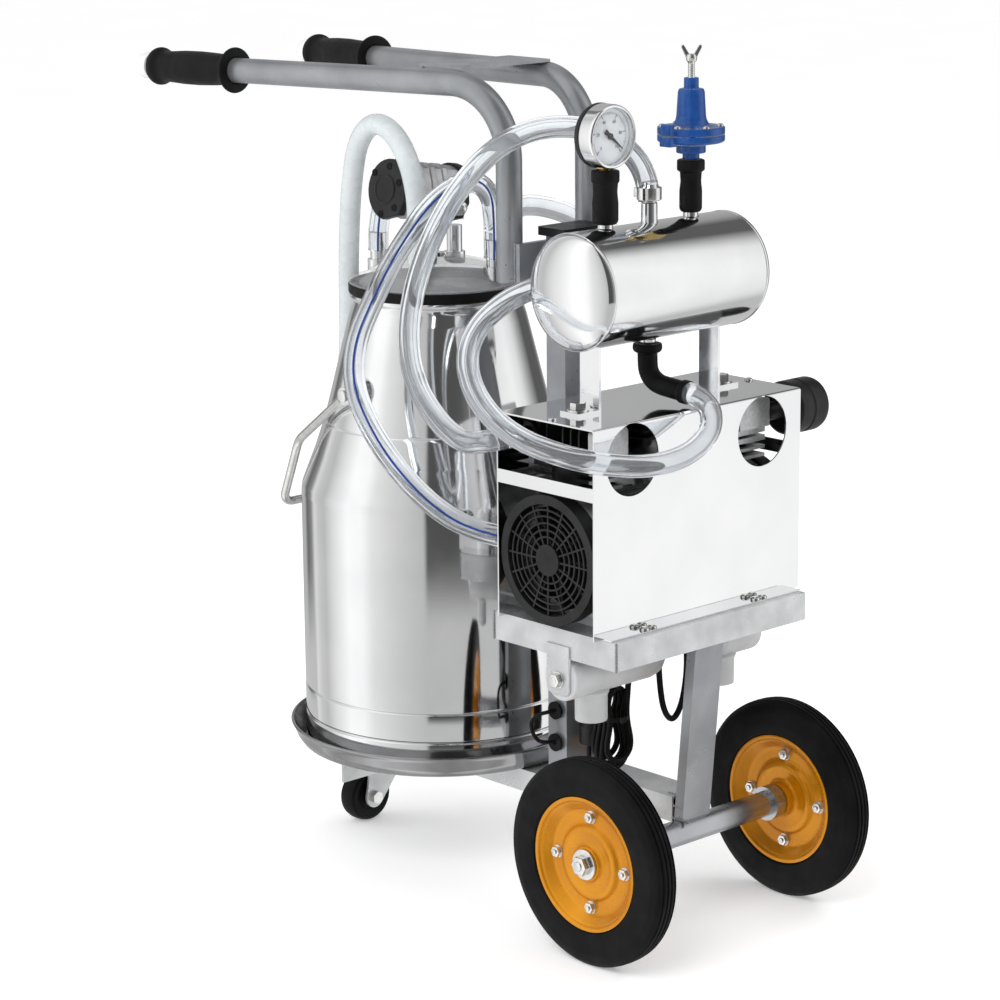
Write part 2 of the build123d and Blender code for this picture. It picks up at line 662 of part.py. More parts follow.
def regulator_screw():
    """Thumb screw with two wings."""
    at = (TANK[0], REGULATOR_Y, REGULATOR_Z)
    shaft = rod("Z", (at[0], at[1], at[2] + 51), 3.5, 42) + rod("Z", (at[0], at[1], at[2] + 51), 8.5, 3)
    wing = block((at[0] - 1.8, at[0] + 1.8), (at[1] - 10, at[1] + 10), (at[2] + 92, at[2] + 107))
    wing = fillet(wing.edges().filter_by(Axis.X), 4)
    wing -= rod("X", (at[0] - 5, at[1], at[2] + 107), 5, 10)
    centre = Pos(at[0], at[1], 0)
    return shaft + centre * Rot(0, 0, -45) * Pos(-at[0], -at[1], 0) * wing


# ---- pump cover ----
def pump_cover():
    """Bent mirror sheet, open at both ends, with bottom flanges and two round holes in front."""
    x0, x1 = COVER_X
    z0, z1 = COVER_Z
    shell = block(COVER_X, (-COVER_Y, COVER_Y), COVER_Z)
    shell = fillet(shell.edges().filter_by(Axis.Y).group_by(Axis.Z)[-1], 3)
    inside = block((x0 + SHEET, x1 - SHEET), (-COVER_Y - 1, COVER_Y + 1), (z0 - 1, z1 - SHEET))
    shell -= fillet(inside.edges().filter_by(Axis.Y).group_by(Axis.Z)[-1], 1.5)
    for start, end in ((x1, x1 + 12), (x0 - 12, x0)):
        shell += block((start, end), (-TRAY_Y, TRAY_Y), (z0, z0 + SHEET))
    for y in (-90, 86):
        shell -= rod("X", (x1 - 5, y, 479), 34, 10)
    for side in (1, -1):
        shell -= rod("Z", (TANK[0], side * 97, z1 - 5), 4.2, 10)
        shell -= rod("Z", (TANK[0] + 3, side * 133, z1 - 5), 2.1, 10)
        shell -= rod("Z", (x1 + 6.5, side * 76, z0 - 5), 2.5, 10)
    for side in (1, -1):
        strip_y = sorted((side * COVER_Y, side * (COVER_Y - SHEET)))
        shell += block((x0 + SHEET, x1 - SHEET), strip_y, (446, 459))
    barb = rod("-X", (x0, -112, 384), 7.5, 24) + rod("-X", (x0, -112, 384), 12, 6)
    return [shell, barb]


# ---- pump ----
def pump_motor():
    """Motor barrel between two crankcases, with feet on the tray's bars."""
    x, y, z = PUMP
    barrel = rod("Y", (x, -72, z), 50, 144)
    for k in range(24):
        barrel -= Pos(x, 0, z) * Rot(0, 15 * k, 0) * Pos(50, 0, 0) * Box(5, 120, 4)
    cases = Part()
    for side in (1, -1):
        outward = "Y" if side > 0 else "-Y"
        case = turned(outward, (x, side * 70, z), [(0, 0), (56, 0), (60, 4), (60, 52), (0, 52)])
        case -= rod(outward, (x, side * 104, z), 56, 30)
        cases += case
    feet = Part()
    for bar in BAR_Y:
        feet += block((x - 42, x + 42), (bar - 9, bar + 9), (TRAY_Z[1], z - 38))
    gland = rod("Z", CORD_EXIT, 7, 20)
    motor = barrel + cases + feet + gland
    return motor - rod("Y", (x, -140, z), 7, 280)


def pump_rotor():
    """Motor shaft with a cooling fan on each end."""
    x, y, z = PUMP
    shaft = rod("Y", (x, -130, z), 7 - FIT, 260)
    fans = Part()
    for side in (1, -1):
        axis = "Y" if side > 0 else "-Y"
        fans += rod(axis, (x, side * 108, z), 14, 18) + rod(axis, (x, side * 108, z), 50, 2)
        for k in range(9):
            blade = block((x + 12, x + 50), sorted((side * 109, side * 126)), (z - 1.2, z + 1.2))
            fans += Pos(x, 0, z) * Rot(0, 40 * k, 0) * Pos(-x, 0, -z) * blade
    return shaft + fans


def pump_grilles():
    """Round fan guards with rings and spokes."""
    x, y, z = PUMP
    pieces = []
    for side in (1, -1):
        axis = "Y" if side > 0 else "-Y"
        start = side * 122.3
        guard = ring(axis, (x, start, z), GRILLE_R, 53, 16)
        for r in GRILLE_RINGS:
            guard += ring(axis, (x, side * 135.3, z), r + 0.9, r - 0.9, 2)
        guard += rod(axis, (x, side * 135.3, z), GRILLE_HUB, 3)
        spoke = block((x + GRILLE_HUB - 1, x + 54), sorted((side * 135.3, side * 137.3)), (z - 0.9, z + 0.9))
        for k in range(16):
            guard += Pos(x, 0, z) * Rot(0, 22.5 * k, 0) * Pos(-x, 0, -z) * spoke
        pieces.append(guard)
    return pieces


def pump_heads():
    """Cylinder, flanges and a head with upright fins over each crankcase, with a port for a hose."""
    x, y, z = PUMP
    pieces = []
    for side in (1, -1):
        y0, y1 = sorted((side * 76, side * 118))
        barrel = rod("Z", (x, side * 97, z + 40), 24.5, 50)
        for low, high in ((66, 69), (74, 77), (82, 87), (90, 96)):
            barrel += block((x - 40, x + 40), (y0 + 2, y1 - 2), (z + low, z + high))
        head = block((x - 44, x + 44), (y0, y1), (z + 96, z + 103))
        for k in HEAD_FINS:
            fin = block((x - 43 + 10.6 * k, x - 41 + 10.6 * k), (y0, y1), (z + 102, z + 126))
            head += fillet(fin.edges().filter_by(Axis.X).group_by(Axis.Z)[-1], 7)
        end = block((x + 34, x + 44), (y0, y1), (z + 102, z + 124))
        head += fillet(end.edges().filter_by(Axis.X).group_by(Axis.Z)[-1], 4)
        pieces.append(barrel + head - rod("Y" if side > 0 else "-Y", (x, side * 60, z), 60, 70))
    port = rod("-Y", (x - 40, -117, z + 113), 7, 20) + rod("-Y", (x - 40, -117, z + 113), 10, 6)
    pieces[1] += block((x - 52, x - 30), (-118, -100), (z + 104, z + 122))
    return pieces + [port]


def pump_filter():
    """Round intake filter on the far head."""
    end = FILTER_END - 118.3
    return turned("Y", (-20, 118.3, PUMP[2] + 108), [
        (0, 0), (9, 0), (9, 24), (24, 25), (26.5, 28), (26.5, 42), (25.5, 43), (25.5, 45), (26.5, 46),
        (26.5, end - 6), (23, end), (0, end)])


# ---- silencers under the tray ----
SILENCER_X = -50.0
SILENCER_Z = 266.0


def exhaust_silencers():
    """Tee-shaped silencers, one under each end of the tray."""
    pieces = []
    for side, length in ((1, 68), (-1, 129)):
        axis = "-Y" if side > 0 else "Y"
        body = turned(axis, (SILENCER_X, side * 129, SILENCER_Z), [
            (0, 0), (20, 0), (21.5, 2), (21.5, length - 18), (17, length - 5), (0, length)])
        stub = rod("-Z", (SILENCER_X, side * 88, SILENCER_Z), 15.5, 48)
        pieces.append(body + stub - rod(axis, (SILENCER_X, side * 132, SILENCER_Z), 4.1, 20))
    return pieces


def silencer_clamps():
    """Hanger plate, bolt and nut at the outer end of each silencer."""
    pieces = []
    x, z = SILENCER_X, SILENCER_Z
    for side in (1, -1):
        axis = "Y" if side > 0 else "-Y"
        y0, y1 = sorted((side * 129.2, side * 132.2))
        plate = block((x - 15, x + 15), (y0, y1), (z - 14, 300))
        plate = fillet(plate.edges().filter_by(Axis.Y).group_by(Axis.Z)[0], 5)
        plate -= block((x - 20, x + 20), sorted((side * 120, side * TRAY_Y)), (TRAY_Z[0], 305))
        pieces.append(plate - rod(axis, (x, side * 120, z), 4.1, 20))
        pieces.append(hexagon(axis, (x, side * 132.2, z), 13, 6) + rod(axis, (x, side * 115, z), 4, 27))
    return pieces


# ---- hoses and cord ----
HOSES = {
    "hose_tank_to_pump": [
        (TANK[0], BARB_Y, TANK_TOP + 20), (TANK[0] - 1, -4, 724), (-74, -14, 752), (-112, -36, 772),
        (-152, -72, 768), (-190, -95, 738), (-216, -118, 690), (-224, -142, 640), (-226, -158, 585),
        (-206, -170, 535), (-168, -172, 500), (-134, -172, 486), (-110, -168, 490), (-98, -152, 493),
        (-97, -137, 494)],
    "hose_lid_to_cover": [
        (*NOZZLES["front"], 622), (-288, 14, 655), (-280, 2, 690), (-270, -35, 708), (-270, -82, 692),
        (-272, -125, 650), (-276, -155, 605), (-288, -172, 558), (-282, -178, 515), (-250, -178, 472),
        (-215, -170, 435), (-185, -148, 402), (-158, -122, 386), (-131, -112, 384)],
    "hose_pulsator": [
        (*NOZZLES["near"], 622), (-317, -62, 655), (-313, -66, 690), (-322, -68, 724), (-346, -66, 750),
        (-378, -64, 758), (-408, -60, 736), (-428, -52, 690), (-450, -38, 635), (-464, -28, 575),
        (-476, -18, 515), (-490, 6, 462), (-492, 42, 438), (-476, 66, 456), (-458, 72, 512), (-446, 72, 575),
        (-440, 70, 635), (-430, 68, 676), (-412, 63, 690), (-399, 59, 672), (-396, 58, 645)],
    "hose_tank_drain": [
        ELBOW_END, (20, -3, 523), (38, -16, 502), (44, -52, 484), (44, -104, 480), (38, -160, 490),
        (14, -202, 504), (-34, -212, 518), (-80, -206, 542), (-112, -188, 570), (-128, -160, 594),
        (-132, -118, 614), (-132, -66, 624), (-131, -10, 628), (-132, 44, 630), (-146, 90, 630),
        (-186, 112, 634), (-236, 108, 648), (-282, 84, 668), (-314, 60, 668), (-318, 58, 645)],
    "hose_pulsator_short": [(*NOZZLES["tail"], 622), (*NOZZLES["tail"], 658), (-400, -30, 681)],
}


def power_cord():
    """Cord from the pump's underside: a hanging loop, a rise to the hank and a tail to the plug."""
    loop = hose("power_cord", [
        CORD_EXIT, (-76.5, 29, 290), (-76, 30, 256), (-76, 32, 222), (-76, 38, 192), (-76, 51, 179),
        (-76, 64, 194), (-77, 72, 226), (-80, 74, 256), (-88, 64, 280), (-96, 38, 284), (-100, 12, 266),
        (-100, -3, 246), (-100, -4, 227)], CORD_R)
    tail = hose("cord_tail", [(-113, -5, 214), (-124, -5, 216), (-131, -5, 206), (-131, -5, 196)], CORD_R)
    return loop, tail


def cord_hank():
    """Coiled length of cord, tied near the top, as one closed shape."""
    upper = Pos(-100, -5, 208) * fillet(Box(26, 30, 40).edges(), 7)
    lower = Pos(-100, -5, 167) * fillet(Box(26, 40, 58).edges(), 9)
    return upper + lower


def power_plug():
    """Moulded plug with three pins, hanging behind the hank."""
    body = turned("Z", (-131, -5, 0), [
        (0, 158), (13.5, 158), (14, 162), (14, 176), (8, 184), (5, 196), (0, 196)])
    for x, y in ((-131, -11), (-131, 1), (-126, -5)):
        body += rod("-Z", (x, y, 158), 2.4, 17)
    return body


def pulsator_wires():
    """Thin wire: a short jumper between the two grommets."""
    upper, lower = GROMMET_Z
    return hose("jumper", [
        (GROMMET_X, -21, upper), (GROMMET_X - 1, -33, upper), (-175, -41, upper - 4), (-182, -43, upper - 15),
        (-175, -41, lower + 2), (GROMMET_X - 1, -33, lower + 1), (GROMMET_X, -21, lower)], WIRE_R)


def build():
    """Write every sub-part."""
    save("spine_beams", *spine_beams())
    save("front_post", front_post())
    save("rear_post", rear_post())
    save("cross_angle", cross_angle())
    save("post_cap", post_cap())
    save("cable_grommets", *cable_grommets())
    save("tray_frame", tray_frame())
    save("handle_tubes", handle_tube(1), handle_tube(-1))
    save("handle_plates", handle_bracket(), handle_cross_plate())
    save("handle_grips", handle_grip(1), handle_grip(-1))
    save("tube_end_plugs", tube_end_plug(1), tube_end_plug(-1))
    save("axle_tube", *axle_tube())
    save("axle_bolts", *axle_bolts())
    for name, side in SIDES.items():
        save(f"tyre_{name}", tyre(side))
        save(f"rim_{name}", *rim(side))
        save(f"rim_bolts_{name}", *rim_bolts(side))
    save("caster_plate", *caster_plate())
    save("caster_fork", caster_fork())
    save("caster_axle", caster_axle())
    save("caster_wheel", *caster_wheel())
    save("drip_pan", drip_pan())
    save("bucket", bucket() + bail_ears())
    save("bucket_gasket", bucket_gasket())
    save("bucket_lid", bucket_lid())
    save("lid_fittings", *lid_fittings())
    save("bucket_bail", bucket_bail())
    save("pulsator_body", *pulsator_body())
    save("pulsator_covers", *pulsator_covers())
    save("vacuum_tank", vacuum_tank(), tank_barb())
    save("tank_brackets", *tank_brackets())
    save("cover_fasteners", *cover_fasteners())
    save("rubber_couplings", *rubber_couplings())
    save("gauge_case", *gauge_case())
    save("gauge_dial", gauge_dial())
    save("gauge_needle", gauge_needle())
    save("gauge_glass", gauge_glass())
    save("tank_elbow", tank_elbow())
    save("regulator_body", *regulator_body())
    save("regulator_bonnet", regulator_bonnet())
    save("regulator_inside", *regulator_inside())
    save("regulator_screw", regulator_screw())
    save("pump_cover", *pump_cover())
    save("pump_motor", pump_motor())
    save("pump_rotor", pump_rotor())
    save("pump_grilles", *pump_grilles())
    save("pump_heads", *pump_heads())
    save("pump_filter", pump_filter())
    save("exhaust_silencers", *exhaust_silencers(), *silencer_clamps())
    for name, points in HOSES.items():
        save(name, hose(name, points, HOSE_R))
    save("power_cord", *power_cord())
    save("cord_hank", cord_hank())
    save("power_plug", power_plug())
    save("pulsator_wires", pulsator_wires())


os.makedirs("parts", exist_ok=True)
build()
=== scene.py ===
import json
import math

import bmesh
import bpy
from mathutils import Matrix, Vector


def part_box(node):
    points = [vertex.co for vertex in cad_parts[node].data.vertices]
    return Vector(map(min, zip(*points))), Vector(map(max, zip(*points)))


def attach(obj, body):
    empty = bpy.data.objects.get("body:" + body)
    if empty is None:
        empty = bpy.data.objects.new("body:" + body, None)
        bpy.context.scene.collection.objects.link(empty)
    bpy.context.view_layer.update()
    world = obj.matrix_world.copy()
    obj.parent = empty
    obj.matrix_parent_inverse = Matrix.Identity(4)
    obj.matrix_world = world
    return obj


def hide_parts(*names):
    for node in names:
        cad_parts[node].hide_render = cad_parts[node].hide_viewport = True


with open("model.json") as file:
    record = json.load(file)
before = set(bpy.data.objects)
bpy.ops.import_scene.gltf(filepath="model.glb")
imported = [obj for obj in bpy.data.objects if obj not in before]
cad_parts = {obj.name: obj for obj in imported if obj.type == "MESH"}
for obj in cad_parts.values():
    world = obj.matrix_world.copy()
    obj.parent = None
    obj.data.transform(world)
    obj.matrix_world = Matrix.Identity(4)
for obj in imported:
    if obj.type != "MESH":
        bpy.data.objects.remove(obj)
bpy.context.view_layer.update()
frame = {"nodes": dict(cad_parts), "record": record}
MM = 0.001


# ---- places worked out from the frame ----
def middle(node):
    """Centre of a CAD node's box."""
    low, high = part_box(node)
    return (Vector(low) + Vector(high)) / 2


AXLE = middle("axle_tube")
ORIGIN = Vector((AXLE.x, AXLE.y, 0.0))
AXLE_Z = AXLE.z / MM
TRACK = (middle("tyre_left").y - AXLE.y) / MM
BUCKET_X = (middle("bucket_gasket").x - AXLE.x) / MM
TANK_X = (middle("rubber_couplings").x - AXLE.x) / MM
GAUGE_Y = (middle("gauge_dial").y - AXLE.y) / MM
GAUGE_Z = middle("gauge_dial").z / MM
REGULATOR_Y = (middle("regulator_inside").y - AXLE.y) / MM
CASTER = (middle("caster_wheel") - ORIGIN) / MM
LID_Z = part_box("bucket_lid")[0][2] / MM
RIM_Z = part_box("bucket_gasket")[0][2] / MM
COVER_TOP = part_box("pump_cover")[1][2] / MM
SIDES = {"left": 1, "right": -1}

# ---- sizes in millimetres, and counts; X is 0 over the axle and Y is 0 on the middle plane ----
TRAY_TOP = 315.5
HEAD_STEP_X = TANK_X + 33.0     # where the pump's heads change from black to bare metal

# wheels
TYRE_R = 100.0
TYRE_HALF = 14.5
TYRE_GROOVES = (7.5, 2.5, -2.5, -7.5)
RIM_BOLT_R = 44.5

# bucket, as (radius, height) up its outer side
BUCKET_SIDE = [
    (142, 380), (141, 388), (138, 396), (127, 424), (116, 457), (108, 488), (99, 524), (90, 560), (86, 572)]
BUCKET_WALL = 2.5
EAR_Z = 492.0

# tank; its half length is from its middle to a seam
TANK_Z = 628.0
TANK_R = 54.7
TANK_HALF = 102.0
TANK_TOP = TANK_Z + TANK_R
TANK_BOTTOM = TANK_Z - TANK_R
COUPLING_TOP = TANK_TOP + 54
BARB_COUNT = 3

# gauge and regulator
DIAL_TICKS = 50
DIAL_STEP = 20
WING_TURN = math.radians(45)

# handles, on the left side
HANDLE_TIP = (-686.0, 109.0, 796.4)
HANDLE_BEND = (-195.3, 52.8, 803.5)
GRIP_START = 131.0
GRIP_RIBS = 20

# silencers, by side
SILENCER_X = -50.0
SILENCER_Z = 266.0
SILENCER_LENGTHS = {1: 68, -1: 129}
HANGER_Y = {1: 132.0, -1: -129.2}

# pulsator: the middle of its near end, its tilt, its end faces, and its screws as seen on an end
PULSATOR = Vector((-357, -60, 691))
PULSATOR_TILT = Matrix.Rotation(math.radians(-8), 3, "X")
PULSATOR_ALONG = PULSATOR_TILT @ Vector((0, 1, 0))
PULSATOR_UP = PULSATOR_TILT @ Vector((0, 0, 1))
PULSATOR_ENDS = ((-1, -5), (1, 83))
PULSATOR_SCREWS = ((-1, 23), (15, 8), (-8, -25), (11, -17), (-22, 15))

# hoses and cords: diameters, lid nozzles and routes
HOSE = 21.0
HOSE_BORE_R = 6.4
STRIPE_R = 1.1
STRIPE_SHIFT = 10.3
CORD = 6.0
WIRE = 4.0
NOZZLES = {
    "front": (-290.0, 15.0), "near": (-318.0, -60.0), "tail": (-414.0, -30.0),
    "far": (-318.0, 58.0), "rear": (-396.0, 58.0),
}
ROUTES = {
    "hose_tank_to_pump": [
        (TANK_X, -3, TANK_TOP + 20), (TANK_X - 1, -4, 724), (-74, -14, 752), (-112, -36, 772),
        (-152, -72, 768), (-190, -95, 738), (-216, -118, 690), (-224, -142, 640), (-226, -158, 585),
        (-206, -170, 535), (-168, -172, 500), (-134, -172, 486), (-110, -168, 490), (-98, -152, 493),
        (-97, -137, 494)],
    "hose_lid_to_cover": [
        (*NOZZLES["front"], 622), (-288, 14, 655), (-280, 2, 690), (-270, -35, 708), (-270, -82, 692),
        (-272, -125, 650), (-276, -155, 605), (-288, -172, 558), (-282, -178, 515), (-250, -178, 472),
        (-215, -170, 435), (-185, -148, 402), (-158, -122, 386), (-131, -112, 384)],
    "hose_pulsator": [
        (*NOZZLES["near"], 622), (-317, -62, 655), (-313, -66, 690), (-322, -68, 724), (-346, -66, 750),
        (-378, -64, 758), (-408, -60, 736), (-428, -52, 690), (-450, -38, 635), (-464, -28, 575),
        (-476, -18, 515), (-488, -14, 470), (-494, 14, 440), (-490, 48, 438), (-478, 74, 466),
        (-466, 78, 515), (-462, 76, 575), (-460, 74, 630), (-450, 70, 674), (-422, 65, 692),
        (-400, 60, 676), (-396, 58, 645)],
    "hose_tank_drain": [
        (-6, -2, 527), (20, -3, 523), (38, -16, 502), (44, -52, 484), (44, -104, 480), (38, -160, 490),
        (14, -202, 504), (-34, -212, 518), (-80, -206, 542), (-112, -188, 570), (-128, -160, 594),
        (-132, -118, 614), (-132, -66, 624), (-131, -10, 628), (-132, 44, 630), (-146, 90, 630),
        (-186, 112, 634), (-236, 108, 648), (-282, 84, 668), (-314, 60, 668), (-318, 58, 645)],
    "hose_pulsator_short": [(*NOZZLES["tail"], 622), (*NOZZLES["tail"], 658), (-400, -30, 681)],
}
CORD_EXIT = (-76, 30, 321.5)
CORD_START = [
    CORD_EXIT, (-76.5, 29, 290), (-76, 30, 256), (-76, 32, 222), (-76, 38, 192), (-76, 51, 179),
    (-76, 64, 194), (-77, 72, 226), (-80, 74, 256), (-86, 62, 278), (-92, 40, 282), (-95, 20, 266),
    (-94, 9, 244), (-93, 5, 218)]
CORD_END = [
    (-119, -22, 206), (-122, -29, 224), (-126, -24, 240), (-130, -10, 242), (-131, -4, 228),
    (-131, -5, 212), (-131, -5, 196)]
JUMPER_ROUTE = [
    (-163.5, -21, 188), (-164.5, -33, 188), (-175, -41, 184), (-182, -43, 173), (-175, -41, 157),
    (-164.5, -33, 156), (-163.5, -21, 155)]
HANK = (-100.0, -5.0)
HANK_TURNS = 4
TIE_Z = 191.0

# weld beads, each row from one end to the other
WELDS = [
    ((-8.5, -18, 125), (3, -18, 125)), ((-9, -19, 113), (12, -19, 113)),
    ((10.5, -19.4, 298), (21.8, -19.4, 287)), ((25.6, -130.3, 289), (25.6, -130.3, 315)),
    ((-138.4, -130.3, 289), (-138.4, -130.3, 315)), ((-176, -23.4, 113), (-150.2, -23.4, 113)),
    ((-176.4, -22, 618), (-176.4, -22, 655)), ((-182.4, -58, 618), (-182.4, -58, 655)),
    ((-20, -12.6, 133.6), (-8.8, -12.6, 133.6)), ((-260, -56, 816), (-260, -44, 817)),
    ((-308, -60, 815), (-308, -50, 816))]
WELD_STEP = 1.3

# ---- angles of view, and the studio's brightness at degrees round the object from the camera ----
AZIMUTH = 47.0
ELEVATION = 13.3
ROLL = -0.5
LENS = 3.1164
WALLS = (
    (-165, 0.47), (-152, 0.5), (-144, 0.15), (-134, 0.3), (-128, 0.85), (-120, 0.68), (-111, 0.62),
    (-100, 0.9), (-82, 1.25), (-68, 1.2), (-58, 0.95), (-40, 0.78), (-20, 0.64), (-13, 0.6), (-10, 0.09),
    (8, 0.09), (24, 0.1), (34, 0.2), (48, 0.2), (62, 0.32), (72, 1.0), (90, 1.12), (104, 0.95), (118, 0.45),
    (130, 0.12), (155, 0.12), (166, 0.35))
BACK_WALL = 0.47
FLOOR_GLOW = 0.6
SHARP_ANGLE = 38        # degrees, from which an edge stays sharp


def place(x, y, z):
    """A design point in millimetres, with X = 0 over the axle and Y = 0 on the middle plane, in metres."""
    return ORIGIN + Vector((x, y, z)) * MM


def y_axis(way):
    """Name of the Y direction that a sign points in."""
    return "Y" if way > 0 else "-Y"


def mirrored(outline):
    """The same (radius, height) outline on the other side of height 0, running back."""
    return [(r, -h) for r, h in reversed(outline)]


# ---- materials ----
def set_inputs(tree, node, values):
    """Sets a node's inputs, by name or number: a socket is linked and anything else is a constant."""
    for name, value in values.items():
        if isinstance(value, bpy.types.NodeSocket):
            tree.links.new(value, node.inputs[name])
        else:
            node.inputs[name].default_value = value


def add_node(tree, kind, values=None):
    """A shader node with some of its inputs set."""
    node = tree.nodes.new("ShaderNode" + kind)
    set_inputs(tree, node, values or {})
    return node


def node_tree(name):
    """A new material with its tree and its Principled shader."""
    material = bpy.data.materials.new(name)
    material.use_nodes = True
    tree = material.node_tree
    tree.nodes.clear()
    shader = add_node(tree, "BsdfPrincipled")
    add_node(tree, "OutputMaterial", {"Surface": shader.outputs["BSDF"]})
    return material, tree, shader


def noise(tree, scale, detail=3.0, stretch=(1, 1, 1)):
    """Noise in object space; a stretch under one draws it out along that axis."""
    where = add_node(tree, "TexCoord").outputs["Object"]
    mapping = add_node(tree, "Mapping", {"Vector": where, "Scale": stretch})
    values = {"Vector": mapping.outputs["Vector"], "Scale": scale, "Detail": detail}
    return add_node(tree, "TexNoise", values).outputs["Fac"]


def spread(tree, value, low, high):
    """Maps noise to a range."""
    values = {"Value": value, "From Min": 0.3, "From Max": 0.7, "To Min": low, "To Max": high}
    return add_node(tree, "MapRange", values).outputs["Result"]


def two_tone(tree, value, dark, light):
    """Mixes two colours by noise."""
    ramp = add_node(tree, "ValToRGB", {"Fac": value})
    for stop, position, color in zip(ramp.color_ramp.elements, (0.32, 0.68), (dark, light)):
        stop.position = position
        stop.color = (*color, 1)
    return ramp.outputs["Color"]


def mixed(tree, factor, one, other, blend="MIX"):
    """Mix of two colours."""
    mix = add_node(tree, "Mix")
    mix.data_type = "RGBA"
    mix.blend_type = blend
    set_inputs(tree, mix, {0: factor, 6: one, 7: other})
    return mix.outputs[2]


def bump(tree, shader, value, strength, depth):
    """Bump from a height in metres of depth, added on top of any bump before it."""
    node = add_node(tree, "Bump", {"Height": value, "Strength": strength, "Distance": depth})
    normal = shader.inputs["Normal"]
    if normal.links:
        tree.links.new(normal.links[0].from_socket, node.inputs["Normal"])
    tree.links.new(node.outputs["Normal"], normal)


def solid_look(name, dark, light, rough, metal=0.0, patch=40, grain=900, grain_depth=0.00004,
               stretch=(1, 1, 1), coat=0.0, wave=0.0, edge=0.0, shine=0.5):
    """A surface with mottled colour, uneven gloss and fine grain; its edges look rounded by edge metres."""
    material, tree, shader = node_tree(name)
    if edge:
        rounded = add_node(tree, "Bevel", {"Radius": edge})
        rounded.samples = 4
        tree.links.new(rounded.outputs["Normal"], shader.inputs["Normal"])
    set_inputs(tree, shader, {
        "Base Color": two_tone(tree, noise(tree, patch, 4.0), dark, light),
        "Roughness": spread(tree, noise(tree, patch * 2.3, 3.0), *rough),
        "Metallic": metal, "Specular IOR Level": shine, "Coat Weight": coat, "Coat Roughness": 0.08})
    bump(tree, shader, noise(tree, grain, 2.0, stretch), 0.5, grain_depth)
    if wave:
        bump(tree, shader, noise(tree, 9.0, 1.0), 0.6, wave)
    return material


def clear_look(name, color, rough, index, clearness):
    """Soft clear tube or glass."""
    material, tree, shader = node_tree(name)
    darker = tuple(c * 0.94 for c in color)
    set_inputs(tree, shader, {
        "Base Color": two_tone(tree, noise(tree, 60, 3.0), darker, color),
        "Roughness": spread(tree, noise(tree, 140, 2.0), rough, rough + 0.05),
        "IOR": index, "Transmission Weight": clearness})
    bump(tree, shader, noise(tree, 50, 1.0), 0.4, 0.0003)
    return material


def veil_look(name, color, rough, cover):
    """Milky plastic; a cover of 1 hides what is behind it and 0 shows it all."""
    material, tree, shader = node_tree(name)
    darker = tuple(c * 0.9 for c in color)
    set_inputs(tree, shader, {
        "Base Color": two_tone(tree, noise(tree, 30, 3.0), darker, color),
        "Roughness": spread(tree, noise(tree, 90, 2.0), rough, rough + 0.08),
        "Alpha": cover})
    bump(tree, shader, noise(tree, 24, 2.0), 0.5, 0.0004)
    return material


def stepped_look(name, low_tone, high_tone, step, rough):
    """Cast metal whose colour changes within a millimetre along X, at a step in metres."""
    material, tree, shader = node_tree(name)
    where = add_node(tree, "TexCoord").outputs["Object"]
    split = add_node(tree, "SeparateXYZ", {"Vector": where})
    values = {"Value": split.outputs["X"], "From Min": step, "From Max": step + MM}
    past = add_node(tree, "MapRange", values)
    speckle = noise(tree, 240, 3.0)
    shades = [two_tone(tree, speckle, tuple(c * 0.8 for c in tone), tone) for tone in (low_tone, high_tone)]
    set_inputs(tree, shader, {
        "Base Color": mixed(tree, past.outputs["Result"], *shades),
        "Roughness": spread(tree, noise(tree, 90, 3.0), *rough),
        "Metallic": 0.75})
    bump(tree, shader, noise(tree, 900, 2.0), 0.5, 0.0001)
    return material


